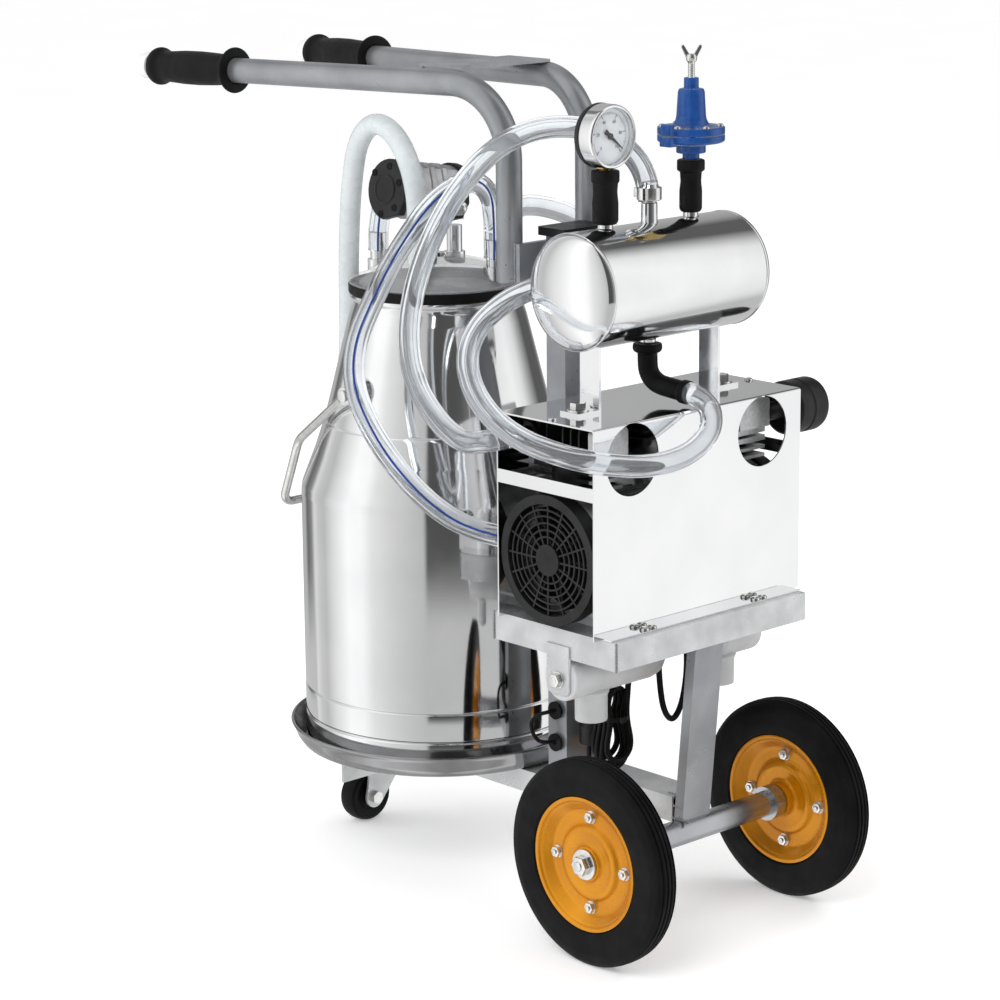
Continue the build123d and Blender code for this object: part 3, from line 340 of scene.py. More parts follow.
STEEL = {"metal": 1.0, "grain": 700, "grain_depth": 0.000003}
SOLID_LOOKS = {
    "frame_paint": dict(
        dark=(0.27, 0.28, 0.295), light=(0.35, 0.36, 0.375), rough=(0.27, 0.38), metal=0.65, patch=22,
        grain=1400, grain_depth=0.00004),
    "tray_paint": dict(
        dark=(0.50, 0.51, 0.515), light=(0.64, 0.645, 0.65), rough=(0.26, 0.4), metal=0.6, patch=34,
        grain=1100, grain_depth=0.00006),
    "axle_steel": dict(
        dark=(0.40, 0.41, 0.43), light=(0.52, 0.53, 0.545), rough=(0.2, 0.3), metal=0.95, patch=12,
        grain=900),
    # darker copy of the polished steel for the drip pan: painted shade standing in for its dark reflection
    # under the bucket
    "pan_steel_painted_shade": dict(
        dark=(0.3, 0.3, 0.305), light=(0.46, 0.46, 0.465), rough=(0.08, 0.15), metal=1.0, patch=16,
        grain=700, grain_depth=0.000004, wave=0.0003),
    "galvanised": dict(
        dark=(0.46, 0.47, 0.48), light=(0.62, 0.63, 0.64), rough=(0.2, 0.34), metal=0.95, patch=110,
        grain=900, edge=0.0005),
    "bright_zinc": dict(
        dark=(0.7, 0.7, 0.69), light=(0.84, 0.84, 0.82), rough=(0.12, 0.22), metal=1.0, patch=140,
        grain=900),
    "polished_steel": dict(
        dark=(0.74, 0.745, 0.75), light=(0.82, 0.82, 0.825), rough=(0.055, 0.09), patch=12,
        stretch=(0.05, 0.05, 1), wave=0.00018, **STEEL),
    "mirror_sheet": dict(
        dark=(0.78, 0.785, 0.79), light=(0.84, 0.84, 0.845), rough=(0.04, 0.09), patch=9,
        stretch=(1, 0.04, 0.04), wave=0.00014, **STEEL),
    "tank_steel": dict(
        dark=(0.76, 0.765, 0.77), light=(0.83, 0.83, 0.835), rough=(0.06, 0.12), patch=14,
        stretch=(1, 0.05, 1), wave=0.00022, **STEEL),
    "dark_rubber": dict(
        dark=(0.004, 0.004, 0.0042), light=(0.009, 0.009, 0.0093), rough=(0.38, 0.55), grain=1600,
        grain_depth=0.00008, shine=0.14),
    "tyre_rubber": dict(
        dark=(0.003, 0.003, 0.0031), light=(0.007, 0.007, 0.0072), rough=(0.42, 0.58), patch=30,
        grain=1100, grain_depth=0.0001, shine=0.12),
    "rim_yellow": dict(
        dark=(0.52, 0.185, 0.003), light=(0.70, 0.285, 0.006), rough=(0.22, 0.32), metal=0.45, patch=10,
        grain=1200, grain_depth=0.00002, coat=0.15, shine=0.3),
    "blue_paint": dict(
        dark=(0.004, 0.05, 0.22), light=(0.008, 0.075, 0.31), rough=(0.22, 0.36), metal=0.1, patch=60,
        grain=1200, coat=0.3, shine=0.35),
    "brass": dict(
        dark=(0.56, 0.38, 0.13), light=(0.76, 0.58, 0.26), rough=(0.18, 0.32), metal=1.0, patch=90),
    "black_plastic": dict(
        dark=(0.007, 0.007, 0.0075), light=(0.015, 0.015, 0.016), rough=(0.32, 0.46), patch=50,
        grain=1500, grain_depth=0.00006, edge=0.0004, shine=0.28),
    "white_plastic": dict(
        dark=(0.50, 0.505, 0.51), light=(0.60, 0.605, 0.61), rough=(0.34, 0.48), patch=30, grain=900),
    "cap_white": dict(
        dark=(0.78, 0.79, 0.79), light=(0.88, 0.88, 0.88), rough=(0.3, 0.42), patch=80),
    "cast_alloy": dict(
        dark=(0.42, 0.425, 0.43), light=(0.58, 0.585, 0.59), rough=(0.3, 0.44), metal=0.9, patch=80,
        grain=700, grain_depth=0.0001, edge=0.0006),
    "black_casting": dict(
        dark=(0.008, 0.008, 0.009), light=(0.02, 0.02, 0.021), rough=(0.3, 0.46), metal=0.2, patch=60,
        grain=800, grain_depth=0.0001, edge=0.0005),
    "dial_white": dict(
        dark=(0.78, 0.82, 0.86), light=(0.86, 0.88, 0.9), rough=(0.4, 0.5), patch=60, grain=600),
    "dial_ink": dict(
        dark=(0.02, 0.025, 0.035), light=(0.04, 0.045, 0.055), rough=(0.5, 0.6), patch=60),
    "cord_black": dict(
        dark=(0.004, 0.004, 0.004), light=(0.009, 0.009, 0.0093), rough=(0.36, 0.5), patch=90,
        grain=1500, shine=0.2),
    "stripe_blue": dict(
        dark=(0.006, 0.03, 0.2), light=(0.01, 0.05, 0.3), rough=(0.3, 0.4), patch=70),
}
LOOK = {name: solid_look(name, **values) for name, values in SOLID_LOOKS.items()}
LOOK["head_metal"] = stepped_look("head_metal", (0.02, 0.02, 0.021), (0.55, 0.555, 0.56),
                                  ORIGIN.x + HEAD_STEP_X * MM, (0.3, 0.46))
LOOK["clear_glass"] = clear_look("clear_glass", (0.97, 0.98, 0.98), 0.02, 1.12, 0.98)
LOOK["lid_plastic"] = veil_look("lid_plastic", (0.86, 0.87, 0.88), 0.04, 0.24)
LOOK["clear_hose"] = clear_look("clear_hose", (0.93, 0.95, 0.97), 0.05, 1.2, 0.93)
LOOK["milky_hose"] = veil_look("milky_hose", (0.74, 0.79, 0.80), 0.24, 0.8)


# ---- mesh helpers ----
def facing(axis):
    """Rotation that turns local Z to an axis such as X or -Y, or to any direction."""
    named = {"X": (1, 0, 0), "Y": (0, 1, 0), "Z": (0, 0, 1), "-X": (-1, 0, 0), "-Y": (0, -1, 0),
             "-Z": (0, 0, -1)}
    direction = Vector(named.get(axis, axis) if isinstance(axis, str) else axis)
    return direction.to_track_quat("Z", "Y").to_matrix().to_4x4()


def softened(outline, radius, closed, steps=4):
    """Rounds each corner of a (radius, height) outline by at most the given size."""
    count = len(outline)
    if not radius:
        return outline
    points = []
    for k, corner in enumerate(outline):
        if not closed and k in (0, count - 1):
            points.append(corner)
            continue
        here = Vector(corner)
        before = Vector(outline[k - 1])
        after = Vector(outline[(k + 1) % count])
        reach_in = min(radius, 0.45 * (here - before).length)
        reach_out = min(radius, 0.45 * (after - here).length)
        start = here + (before - here).normalized() * reach_in
        end = here + (after - here).normalized() * reach_out
        for step in range(steps + 1):
            t = step / steps
            points.append(tuple(start * (1 - t) ** 2 + here * 2 * t * (1 - t) + end * t ** 2))
    return points


def add_lathe(bm, at, axis, outline, radius=1.0, segments=96, closed=True):
    """Turns an outline of (radius, height) in millimetres about an axis through a place."""
    spin = Matrix.Translation(place(*at)) @ facing(axis)
    profile = softened(outline, radius, closed)
    rings = []
    for k in range(segments):
        angle = 2 * math.pi * k / segments
        c, s = math.cos(angle), math.sin(angle)
        rings.append([bm.verts.new(spin @ Vector((r * c * MM, r * s * MM, h * MM))) for r, h in profile])
    last = len(profile) if closed else len(profile) - 1
    for k in range(segments):
        here, there = rings[k], rings[(k + 1) % segments]
        for j in range(last):
            i = (j + 1) % len(profile)
            bm.faces.new((here[j], here[i], there[i], there[j]))


def add_box(bm, x, y, z, bevel):
    """Box between limits in millimetres, with rounded edges."""
    verts = [bm.verts.new(place(a, b, c)) for a in x for b in y for c in z]
    quads = ((0, 1, 3, 2), (4, 6, 7, 5), (0, 4, 5, 1), (2, 3, 7, 6), (0, 2, 6, 4), (1, 5, 7, 3))
    faces = [bm.faces.new([verts[i] for i in quad]) for quad in quads]
    edges = list(dict.fromkeys(edge for face in faces for edge in face.edges))
    bmesh.ops.bevel(bm, geom=edges, offset=bevel * MM, segments=3, profile=0.6, affect="EDGES")


def add_plate(bm, at, u, v, outline, depth, bevel=0.0):
    """Extrudes a flat outline given along two directions, by a depth along their normal."""
    u, v = Vector(u), Vector(v)
    out = u.cross(v)
    base = Vector(at)
    low = [bm.verts.new(place(*(base + u * a + v * b))) for a, b in outline]
    high = [bm.verts.new(place(*(base + u * a + v * b + out * depth))) for a, b in outline]
    faces = [bm.faces.new(list(reversed(low))), bm.faces.new(high)]
    for k in range(len(outline)):
        j = (k + 1) % len(outline)
        faces.append(bm.faces.new((low[k], low[j], high[j], high[k])))
    if bevel:
        edges = [*faces[0].edges, *faces[1].edges]
        bmesh.ops.bevel(bm, geom=edges, offset=bevel * MM, segments=3, profile=0.6, affect="EDGES")


def across_axis(axis):
    """Two directions square to an axis, whose cross product is the axis."""
    turn = facing(axis)
    return turn @ Vector((1, 0, 0)), turn @ Vector((0, 1, 0))


def add_hexagon(bm, at, axis, across, length):
    """Hexagon head with a chamfered top."""
    corner = across / math.sqrt(3)
    outline = [(corner * math.cos(math.pi * k / 3), corner * math.sin(math.pi * k / 3)) for k in range(6)]
    u, v = across_axis(axis)
    add_plate(bm, at, u, v, outline, length, bevel=across * 0.05)


def add_piece(piece, body, nodes):
    """Puts a new object into the scene, on its body, for the CAD nodes that it stands for."""
    bpy.context.scene.collection.objects.link(piece)
    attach(piece, body)
    if nodes:
        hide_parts(*nodes)
    return piece


def finish(bm, name, slot, body="trolley", nodes=(), look=None):
    """Makes a piece from a mesh, with the look of its slot or another."""
    bmesh.ops.remove_doubles(bm, verts=bm.verts, dist=1e-7)
    bmesh.ops.dissolve_degenerate(bm, edges=bm.edges, dist=1e-7)
    bmesh.ops.recalc_face_normals(bm, faces=bm.faces)
    mesh = bpy.data.meshes.new(name)
    bm.to_mesh(mesh)
    bm.free()
    mesh.polygons.foreach_set("use_smooth", [True] * len(mesh.polygons))
    mesh.set_sharp_from_angle(angle=math.radians(SHARP_ANGLE))
    mesh.materials.append(LOOK[look or slot])
    return add_piece(bpy.data.objects.new(name, mesh), body, nodes)


def turned(name, slot, at, axis, outline, body="trolley", nodes=(), radius=1.0, segments=96, closed=True,
           look=None):
    """One lathe-turned piece."""
    bm = bmesh.new()
    add_lathe(bm, at, axis, outline, radius, segments, closed)
    return finish(bm, name, slot, body, nodes, look)


# ---- camera, light and floor ----
def make_camera():
    """Long lens from ahead and to the near side of the pump, a little above the object."""
    azimuth, elevation, roll = math.radians(AZIMUTH), math.radians(ELEVATION), math.radians(ROLL)
    distance, slide, lift, target_z = 2913.2, -183.1, -71.4, 500.0
    flat = math.cos(elevation)
    back = Vector((math.sin(azimuth) * flat, -math.cos(azimuth) * flat, math.sin(elevation)))
    right = Vector((math.cos(azimuth), math.sin(azimuth), 0))
    up = back.cross(right)
    at = Vector((0, 0, target_z)) + back * distance + right * slide + up * lift
    rolled_right = right * math.cos(roll) + up * math.sin(roll)
    rolled_up = up * math.cos(roll) - right * math.sin(roll)
    camera = bpy.data.cameras.new("camera")
    camera.lens = LENS * camera.sensor_width
    holder = bpy.data.objects.new("camera", camera)
    rotation = Matrix((rolled_right, rolled_up, back)).transposed().to_4x4()
    holder.matrix_world = Matrix.Translation(place(*at)) @ rotation
    bpy.context.scene.collection.objects.link(holder)
    bpy.context.scene.camera = holder


def area_light(name, at, toward, size, power):
    """Soft box that faces a point and shows in no reflection."""
    lamp = bpy.data.lights.new(name, "AREA")
    lamp.shape = "RECTANGLE"
    lamp.size, lamp.size_y = size
    lamp.energy = power
    holder = bpy.data.objects.new(name, lamp)
    holder.location = at
    direction = Vector(toward) - Vector(at)
    holder.rotation_euler = direction.to_track_quat("-Z", "Y").to_euler()
    holder.visible_glossy = False
    bpy.context.scene.collection.objects.link(holder)


def wall_brightness(tree, where):
    """Brightness of the studio's walls by direction round the object."""
    turn = add_node(tree, "Mapping", {"Vector": where, "Rotation": (0, 0, math.radians(90 - AZIMUTH))})
    ring = add_node(tree, "TexGradient", {"Vector": turn.outputs["Vector"]})
    ring.gradient_type = "RADIAL"
    ramp = add_node(tree, "ValToRGB", {"Fac": ring.outputs["Fac"]})
    stops = ramp.color_ramp.elements
    stops[0].position, stops[1].position = 0.0, 1.0
    stops[0].color = stops[1].color = (BACK_WALL, BACK_WALL, BACK_WALL + 0.005, 1)
    for angle, value in WALLS:
        stops.new(0.5 + angle / 360).color = (value, value, value, 1)
    return ramp.outputs["Color"]


def world_pattern(tree):
    """The studio's walls, and below them a floor that is never darker than its glow."""
    where = add_node(tree, "TexCoord").outputs["Generated"]
    height = add_node(tree, "SeparateXYZ", {"Vector": where}).outputs["Z"]
    below = add_node(tree, "MapRange", {"Value": height, "From Min": -0.252, "From Max": -0.287})
    glow = (FLOOR_GLOW, FLOOR_GLOW, FLOOR_GLOW, 1)
    return mixed(tree, below.outputs["Result"], wall_brightness(tree, where), glow, "LIGHTEN")


def make_world():
    """Pure white behind the object, even light on it, and the studio's walls in its reflections."""
    world = bpy.data.worlds.new("studio")
    bpy.context.scene.world = world
    world.use_nodes = True
    tree = world.node_tree
    tree.nodes.clear()
    path = add_node(tree, "LightPath").outputs
    seen, even, mirrored_walls = (
        add_node(tree, "Background", {"Color": color, "Strength": strength}).outputs["Background"]
        for color, strength in (((1, 1, 1, 1), 1.0), ((1, 1, 1, 1), 0.78), (world_pattern(tree), 1.0)))
    lit = add_node(tree, "MixShader", {"Fac": path["Is Glossy Ray"], 1: even, 2: mirrored_walls})
    shown = add_node(tree, "MixShader", {"Fac": path["Is Camera Ray"], 1: lit.outputs["Shader"], 2: seen})
    add_node(tree, "OutputWorld", {"Surface": shown.outputs["Shader"]})


def make_floor():
    """Wide pale floor with a faint glow, left out of reflections."""
    bm = bmesh.new()
    corners = ((-1, -1), (1, -1), (1, 1), (-1, 1))
    bm.faces.new([bm.verts.new((30.0 * x, 30.0 * y, 0)) for x, y in corners])
    mesh = bpy.data.meshes.new("floor")
    bm.to_mesh(mesh)
    bm.free()
    material, tree, shader = node_tree("floor")
    set_inputs(tree, shader, {
        "Base Color": two_tone(tree, noise(tree, 3.0, 2.0), (0.9, 0.9, 0.9), (0.92, 0.92, 0.92)),
        "Roughness": 0.8, "Specular IOR Level": 0.0, "Emission Color": (1, 1, 1, 1),
        "Emission Strength": 0.28})
    mesh.materials.append(material)
    floor = bpy.data.objects.new("floor", mesh)
    floor.visible_glossy = False
    bpy.context.scene.collection.objects.link(floor)


make_camera()
make_world()
area_light("key", (1.2, -2.6, 2.8), (0, 0, 0.4), (1.8, 1.8), 46)
area_light("fill", (-2.4, -2.0, 1.8), (-0.1, 0, 0.4), (1.4, 2.0), 16)
area_light("rim", (0.6, 2.6, 2.4), (0, 0, 0.5), (2.0, 1.4), 26)
make_floor()
bpy.context.scene.view_settings.view_transform = "Standard"


# ---- hoses and cord ----
def spline(name, points, radius, slot, nodes=()):
    """Round cord along a smooth curve through a route's points."""
    curve = bpy.data.curves.new(name, "CURVE")
    curve.dimensions = "3D"
    line = curve.splines.new("NURBS")
    line.points.add(len(points) - 1)
    for point, at in zip(line.points, points):
        point.co = (*place(*at), 1)
    line.order_u = 3
    line.use_endpoint_u = True
    line.resolution_u = 12
    curve.bevel_depth = radius * MM
    curve.bevel_resolution = 8
    curve.use_fill_caps = True
    curve.materials.append(LOOK[slot])
    return add_piece(bpy.data.objects.new(name, curve), "trolley", nodes)


def centre_line(piece):
    """Points along a curve's own line."""
    bare = piece.copy()
    bare.data = piece.data.copy()
    bare.data.bevel_depth = 0
    bpy.context.scene.collection.objects.link(bare)
    bpy.context.view_layer.update()
    mesh = bpy.data.meshes.new_from_object(bare.evaluated_get(bpy.context.evaluated_depsgraph_get()))
    points = [v.co.copy() for v in mesh.vertices]
    bpy.data.objects.remove(bare)
    return points


def along_tube(name, line, radius, slot, look, shift=0.0, sides=16):
    """Thin tube that follows a line, moved sideways by a distance in millimetres."""
    toward = Vector((0.71, -0.66, 0.23))
    bm = bmesh.new()
    rings = []
    lead = toward
    for k, point in enumerate(line):
        ahead = (line[min(k + 1, len(line) - 1)] - line[max(k - 1, 0)]).normalized()
        out = (lead - ahead * lead.dot(ahead)).normalized()
        side = ahead.cross(out)
        centre = point + out * (shift * MM)
        rings.append([bm.verts.new(centre + (out * math.cos(a) + side * math.sin(a)) * radius * MM)
                      for a in (2 * math.pi * i / sides for i in range(sides))])
        lead = out * 0.5 + toward * 0.5
    for here, there in zip(rings, rings[1:]):
        for i in range(sides):
            j = (i + 1) % sides
            bm.faces.new((here[i], here[j], there[j], there[i]))
    bm.faces.new(list(reversed(rings[0])))
    bm.faces.new(rings[-1])
    return finish(bm, name, slot, look=look)


def make_hoses():
    """Clear and milky hoses with their bores, and the blue stripe on two of them."""
    for name, points in ROUTES.items():
        milky = name == "hose_pulsator"
        slot = "milky_hose" if milky else "clear_hose"
        hose = spline(name + "_wall", points, HOSE / 2, slot, (name,))
        line = centre_line(hose)
        if not milky:
            along_tube(name + "_bore", line[1:-1], HOSE_BORE_R, slot, "clear_hose")
        if name in ("hose_lid_to_cover", "hose_pulsator_short"):
            along_tube(name + "_stripe", line, STRIPE_R, slot, "stripe_blue", STRIPE_SHIFT, 8)


def hank_points():
    """Turns of the put-away cord: long loops side by side, drawn in at the tie and loose below it."""
    points = []
    for turn in range(HANK_TURNS):
        x = HANK[0] + 8.4 - 6.1 * turn
        upper, lower = 208.0 - 2.5 * (turn % 2), 163.0 - 4.0 * (turn * 2 % 3)
        loose = 17.0 + 0.8 * (turn % 3)
        for k in range(5):
            angle = math.pi * k / 4
            points.append((x - 0.4 * k, HANK[1] - 13.5 * math.cos(angle), upper + 16 * math.sin(angle)))
        points.append((x - 2.4, HANK[1] + 8.5, TIE_Z))
        for k in range(5):
            angle = math.pi * k / 4
            points.append((x - 3 - 0.4 * k, HANK[1] + loose * math.cos(angle),
                           lower - loose * math.sin(angle)))
        points.append((x - 5.4, HANK[1] - 8.5, TIE_Z))
    return points


def make_cord():
    """Mains lead: down from the pump in a loop, up to the hank, round its turns and down to the plug."""
    points = CORD_START + hank_points()[5:] + CORD_END
    cord = spline("power_cord_lead", points, CORD / 2, "cord_black", ("power_cord", "cord_hank"))
    line = centre_line(cord)
    relief = turned("strain_relief", "cord_black", CORD_EXIT, "-Z", [
        (CORD / 2, -0.5), (6.5, -0.5), (6.5, 3), (5.6, 4), (5.6, 6), (5.2, 7), (5.2, 9), (4.7, 10),
        (4.7, 12), (4.2, 13), (4.2, 15), (3.7, 16), (3.5, 22), (CORD / 2, 22)], radius=0.4, segments=32)
    bm = bmesh.new()
    x, y = HANK
    add_lathe(bm, (x - 3, y, TIE_Z), "Z", [(13.6, -2.2), (15, -2.2), (15, 2.2), (13.6, 2.2)], 0.5, 48)
    add_box(bm, (x + 11, x + 14.5), (y - 6, y + 1), (TIE_Z - 3, TIE_Z + 3), 1.0)
    tie = finish(bm, "hank_tie", "black_plastic")


def make_jumper():
    """Thin wire from one grommet to the other."""
    jumper = spline("pulsator_jumper", JUMPER_ROUTE, WIRE / 2, "cord_black", ("pulsator_wires",))
    centre_line(jumper)


make_hoses()
make_cord()
make_jumper()


# ---- wheels ----
def make_tyre(name, at, body):
    """Solid rubber tyre with four grooves round its tread."""
    half = TYRE_HALF
    wall = [(61.2, 10.2), (65.2, 11.4), (66.6, half - 0.8), (76, half), (88, half - 0.2),
            (95.4, half - 2.4), (98.4, 9.6)]
    tread = []
    for groove in TYRE_GROOVES:
        crown = TYRE_R - (abs(groove) - 2.5) / 12
        bottom = crown - 1.8
        tread += [(crown, groove + 1), (bottom, groove + 0.7), (bottom, groove - 0.7), (crown, groove - 1)]
    outline = wall + tread + mirrored(wall)
    turned(f"tyre_{name}_rubber", "tyre_rubber", at, "Y", outline, body, (f"tyre_{name}",), 1.6, 160)


def make_rim(name, side, at, body):
    """Pressed rim with a raised centre, and a hub tube towards the machine."""
    face = [(11.2, 10.3), (16.4, 10.3), (17.6, 7.6), (20, 6.2), (27, 6.4), (31, 7.0), (34.5, 6.4),
            (37.5, 3.0), (40, 2.4), (48.5, 2.4), (51, 3), (58, 9.6), (60.2, 10.8), (61.4, 12.8), (65, 13)]
    bm = bmesh.new()
    add_lathe(bm, at, "Y", face + [(65, 11.8), (61.8, 10.6), (61.8, -10.6), (65, -11.8)] + mirrored(face),
              1.2, 144)
    add_lathe(bm, at, y_axis(-side), [(11.2, 8), (17, 8), (17, 16.3), (16, 16.4), (11.2, 16.4)], 0.5, 96)
    finish(bm, f"rim_{name}_pressing", "rim_yellow", body, (f"rim_{name}",))


def make_rim_bolts(name, side, body):
    """Four bolts through the rim, with a washer, a nut and a thread end on each face."""
    bm = bmesh.new()
    for x, z in ((RIM_BOLT_R, 0), (0, RIM_BOLT_R), (-RIM_BOLT_R, 0), (0, -RIM_BOLT_R)):
        for way in (1, -1):
            axis = y_axis(way)
            washer, nut, thread = ((x, side * TRACK + way * lift, AXLE_Z + z) for lift in (2.4, 3.4, 6.9))
            add_lathe(bm, washer, axis, [(0, 0), (6.4, 0), (6.2, 1), (0, 1)], 0.3, 40)
            add_hexagon(bm, nut, axis, 9.6, 3.6)
            add_lathe(bm, thread, axis, [(0, 0), (2.7, 0), (2.5, 1.6), (0, 1.8)], 0.5, 24)
    finish(bm, f"rim_{name}_bolts", "galvanised", body, (f"rim_bolts_{name}",), "bright_zinc")


def make_axle_bolt(name, side):
    """Washer, bolt head and thread end on the outer face of a hub."""
    bm = bmesh.new()
    outward = y_axis(side)
    start = side * (TRACK + 10.8)
    add_lathe(bm, (0, start, AXLE_Z), outward, [(0, 0), (15, 0), (15, 1.6), (14.4, 2.2), (0, 2.2)], 0.5, 64)
    add_hexagon(bm, (0, start + side * 2.2, AXLE_Z), outward, 16.8, 6.8)
    add_lathe(bm, (0, start + side * 8.9, AXLE_Z), outward, [(0, 0), (5, 0), (4.2, 1.2), (0, 1.4)], 0.4, 32)
    nodes = ("axle_bolts",) if side > 0 else ()
    finish(bm, f"axle_bolt_{name}", "galvanised", nodes=nodes, look="bright_zinc")


def make_wheels():
    """The two big wheels and the bolts that hold them."""
    for name, side in SIDES.items():
        at = (0, side * TRACK, AXLE_Z)
        body = f"wheel_{name}"
        make_tyre(name, at, body)
        make_rim(name, side, at, body)
        make_rim_bolts(name, side, body)
        make_axle_bolt(name, side)


def make_caster():
    """Small rubber wheel with a rounded tread, on its hub."""
    at = tuple(CASTER)
    bm = bmesh.new()
    add_lathe(bm, at, "X", [
        (14, -9), (20, -10.4), (24, -11), (26.6, -8.8), (27.8, -4), (28, 0), (27.8, 4), (26.6, 8.8),
        (24, 11), (20, 10.4), (14, 9)], 1.0, 96)
    add_lathe(bm, at, "X", [
        (4.1, -12.5), (8, -12.5), (8, -9.4), (14, -9), (14, 9), (8, 9.4), (8, 12.5), (4.1, 12.5)], 0.5, 64)
    finish(bm, "caster_tread", "tyre_rubber", "caster_roller", ("caster_wheel",))


make_wheels()
make_caster()


# ---- bucket, pan and lid ----
def bucket_outline(floor):
    """Closed outline of the bucket's wall: foot, side with its seams, rolled rim and inside."""
    foot = [(0, floor), (134, floor), (139, floor + 3), (142, floor + 9), (142, 146.4), (140.6, 147.6),
            (140.6, 148.4), (142, 149.6), (142, 176.8), (141, 177.6), (141, 178.4), (142, 179.2)]
    seam = [(117.9, 450.8), (117.2, 452.4), (116.3, 453.2), (116.6, 454.8)]
    rim = [(85.5, RIM_Z - 7), (88.5, RIM_Z - 5), (89.5, RIM_Z - 2.5), (88.5, RIM_Z), (80, RIM_Z)]
    inside = [(r - BUCKET_WALL, h) for r, h in reversed(BUCKET_SIDE)]
    bottom = [(139.5, floor + 10), (134, floor + 2), (0, floor + 2)]
    return foot + BUCKET_SIDE[:4] + seam + BUCKET_SIDE[4:] + rim + inside + bottom


def make_bucket():
    """Polished bucket with its welded seams, rolled rim and two ears."""
    bm = bmesh.new()
    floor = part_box("bucket")[0][2] / MM
    add_lathe(bm, (BUCKET_X, 0, 0), "Z", bucket_outline(floor), 1.2, 192)
    ear = [(0, 102), (18, 102), (18, 110.6), (16, 112), (14.5, 111.2), (13, 110.4), (7, 110.6), (6, 112),
           (6, 120.8), (3.5, 121), (3.5, 128), (6, 128), (6, 130), (0, 130)]
    for way in (1, -1):
        add_lathe(bm, (BUCKET_X, 0, EAR_Z), y_axis(way), ear, 0.8, 64, closed=False)
    finish(bm, "bucket_shell", "polished_steel", nodes=("bucket",))


def make_pan_and_lid():
    """Drip pan below the bucket, rubber gasket on its rim and the domed lid."""
    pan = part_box("drip_pan")[0][2] / MM
    # the pan's steel is darker than the bucket's: painted shade for its dark reflection under the bucket
    turned("drip_pan_spun", "polished_steel", (BUCKET_X, 0, pan), "Z", [
        (0, 0), (140, 0), (147, 3), (152, 10), (156, 20), (158, 23), (158, 25), (155, 25), (150, 12),
        (146, 4.6), (143.5, 2), (0, 2)], nodes=("drip_pan",), radius=2.0, segments=192, look="pan_steel_painted_shade")
    turned("gasket_ring", "dark_rubber", (BUCKET_X, 0, RIM_Z), "Z", [
        (78, 0), (90, 0), (90, 9.5), (78, 9.5)], nodes=("bucket_gasket",), radius=1.4, segments=160)
    turned("lid_dome", "clear_glass", (BUCKET_X, 0, LID_Z), "Z", [
        (90, 0), (90, 3.5), (82, 4), (76, 7), (66, 13), (52, 19), (36, 23), (18, 25.2), (0, 26), (0, 23.5),
        (18, 22.7), (35, 20.6), (50.5, 16.8), (64, 11), (73.5, 5), (76, 0)], nodes=("bucket_lid",),
        radius=2.0, segments=160, look="lid_plastic")


make_bucket()
make_pan_and_lid()


# ---- tank, gauge and regulator ----
def tank_side():
    """The tank's outline, from the middle of one domed end to the middle of the other."""
    end = []
    for k in range(31):
        angle = math.radians(3 * k)
        end.append((TANK_R * math.sin(angle), TANK_HALF + 17 * math.cos(angle)))
    return [(r, -h) for r, h in end] + [(r, h) for r, h in reversed(end)]


def make_tank():
    """Vacuum tank with rolled seams, two nipples on top, one below and the barb of the pump's hose."""
    bm = bmesh.new()
    add_lathe(bm, (TANK_X, 0, TANK_Z), "Y", tank_side(), 0, 144, closed=False)
    seam = [(TANK_R - 1, -1.8), (TANK_R + 0.3, -1.4), (TANK_R + 0.5, 0), (TANK_R + 0.3, 1.4),
            (TANK_R - 1, 1.8)]
    for way in (1, -1):
        add_lathe(bm, (TANK_X, way * TANK_HALF, TANK_Z), "Y", seam, 0.5, 144)
    nipple = [(0, 0), (9.4, 2.5), (7.2, 4.6), (7, 10), (0, 10)]
    for y in (GAUGE_Y, REGULATOR_Y):
        add_lathe(bm, (TANK_X, y, TANK_TOP - 4), "Z", nipple, 0.8, 64, closed=False)
    drain = [(0, 0), (10, 2.5), (8.2, 4.6), (8, 9.4), (0, 9.4)]
    add_lathe(bm, (TANK_X, -5, TANK_BOTTOM + 4), "-Z", drain, 0.8, 64, closed=False)
    barb = [(0, -3), (9.6, -3), (7.8, 0.6), (7.6, 18), (6.5, 19)]
    for k in range(BARB_COUNT):
        barb += [(8.2, 21 + 5 * k), (6.8, 25.5 + 5 * k)]
    add_lathe(bm, (TANK_X, -3, TANK_TOP), "Z", barb + [(6.8, 38), (0, 38)], 0.5, 64, closed=False)
    finish(bm, "tank_shell", "polished_steel", nodes=("vacuum_tank",), look="tank_steel")


def make_hose_clamp():
    """Band round the pump's hose on the tank's barb, and its screw housing."""
    bm = bmesh.new()
    add_lathe(bm, (TANK_X, -3.2, TANK_TOP + 21), "Z", [(10.7, 0), (11.7, 0.3), (11.7, 11.7), (10.7, 12)],
              0.4, 64)
    add_box(bm, (TANK_X - 16, TANK_X - 9), (-8, -1), (TANK_TOP + 22.5, TANK_TOP + 31.5), 0.8)
    finish(bm, "hose_clamp", "galvanised", look="bright_zinc")


def make_couplings():
    """Two rubber sleeves, each with a collar."""
    for name, y, r in (("gauge", GAUGE_Y, 12.2), ("regulator", REGULATOR_Y, 10.8)):
        nodes = ("rubber_couplings",) if name == "gauge" else ()
        turned(f"coupling_{name}", "dark_rubber", (TANK_X, y, TANK_TOP), "Z", [
            (0, 4), (r - 2, 4), (r, 7), (r, 24), (r - 1.0, 33), (r - 0.4, 42), (13.2, 43.5), (13.2, 53),
            (r, 54), (0, 54)], nodes=nodes, radius=1.4, segments=96, closed=False)


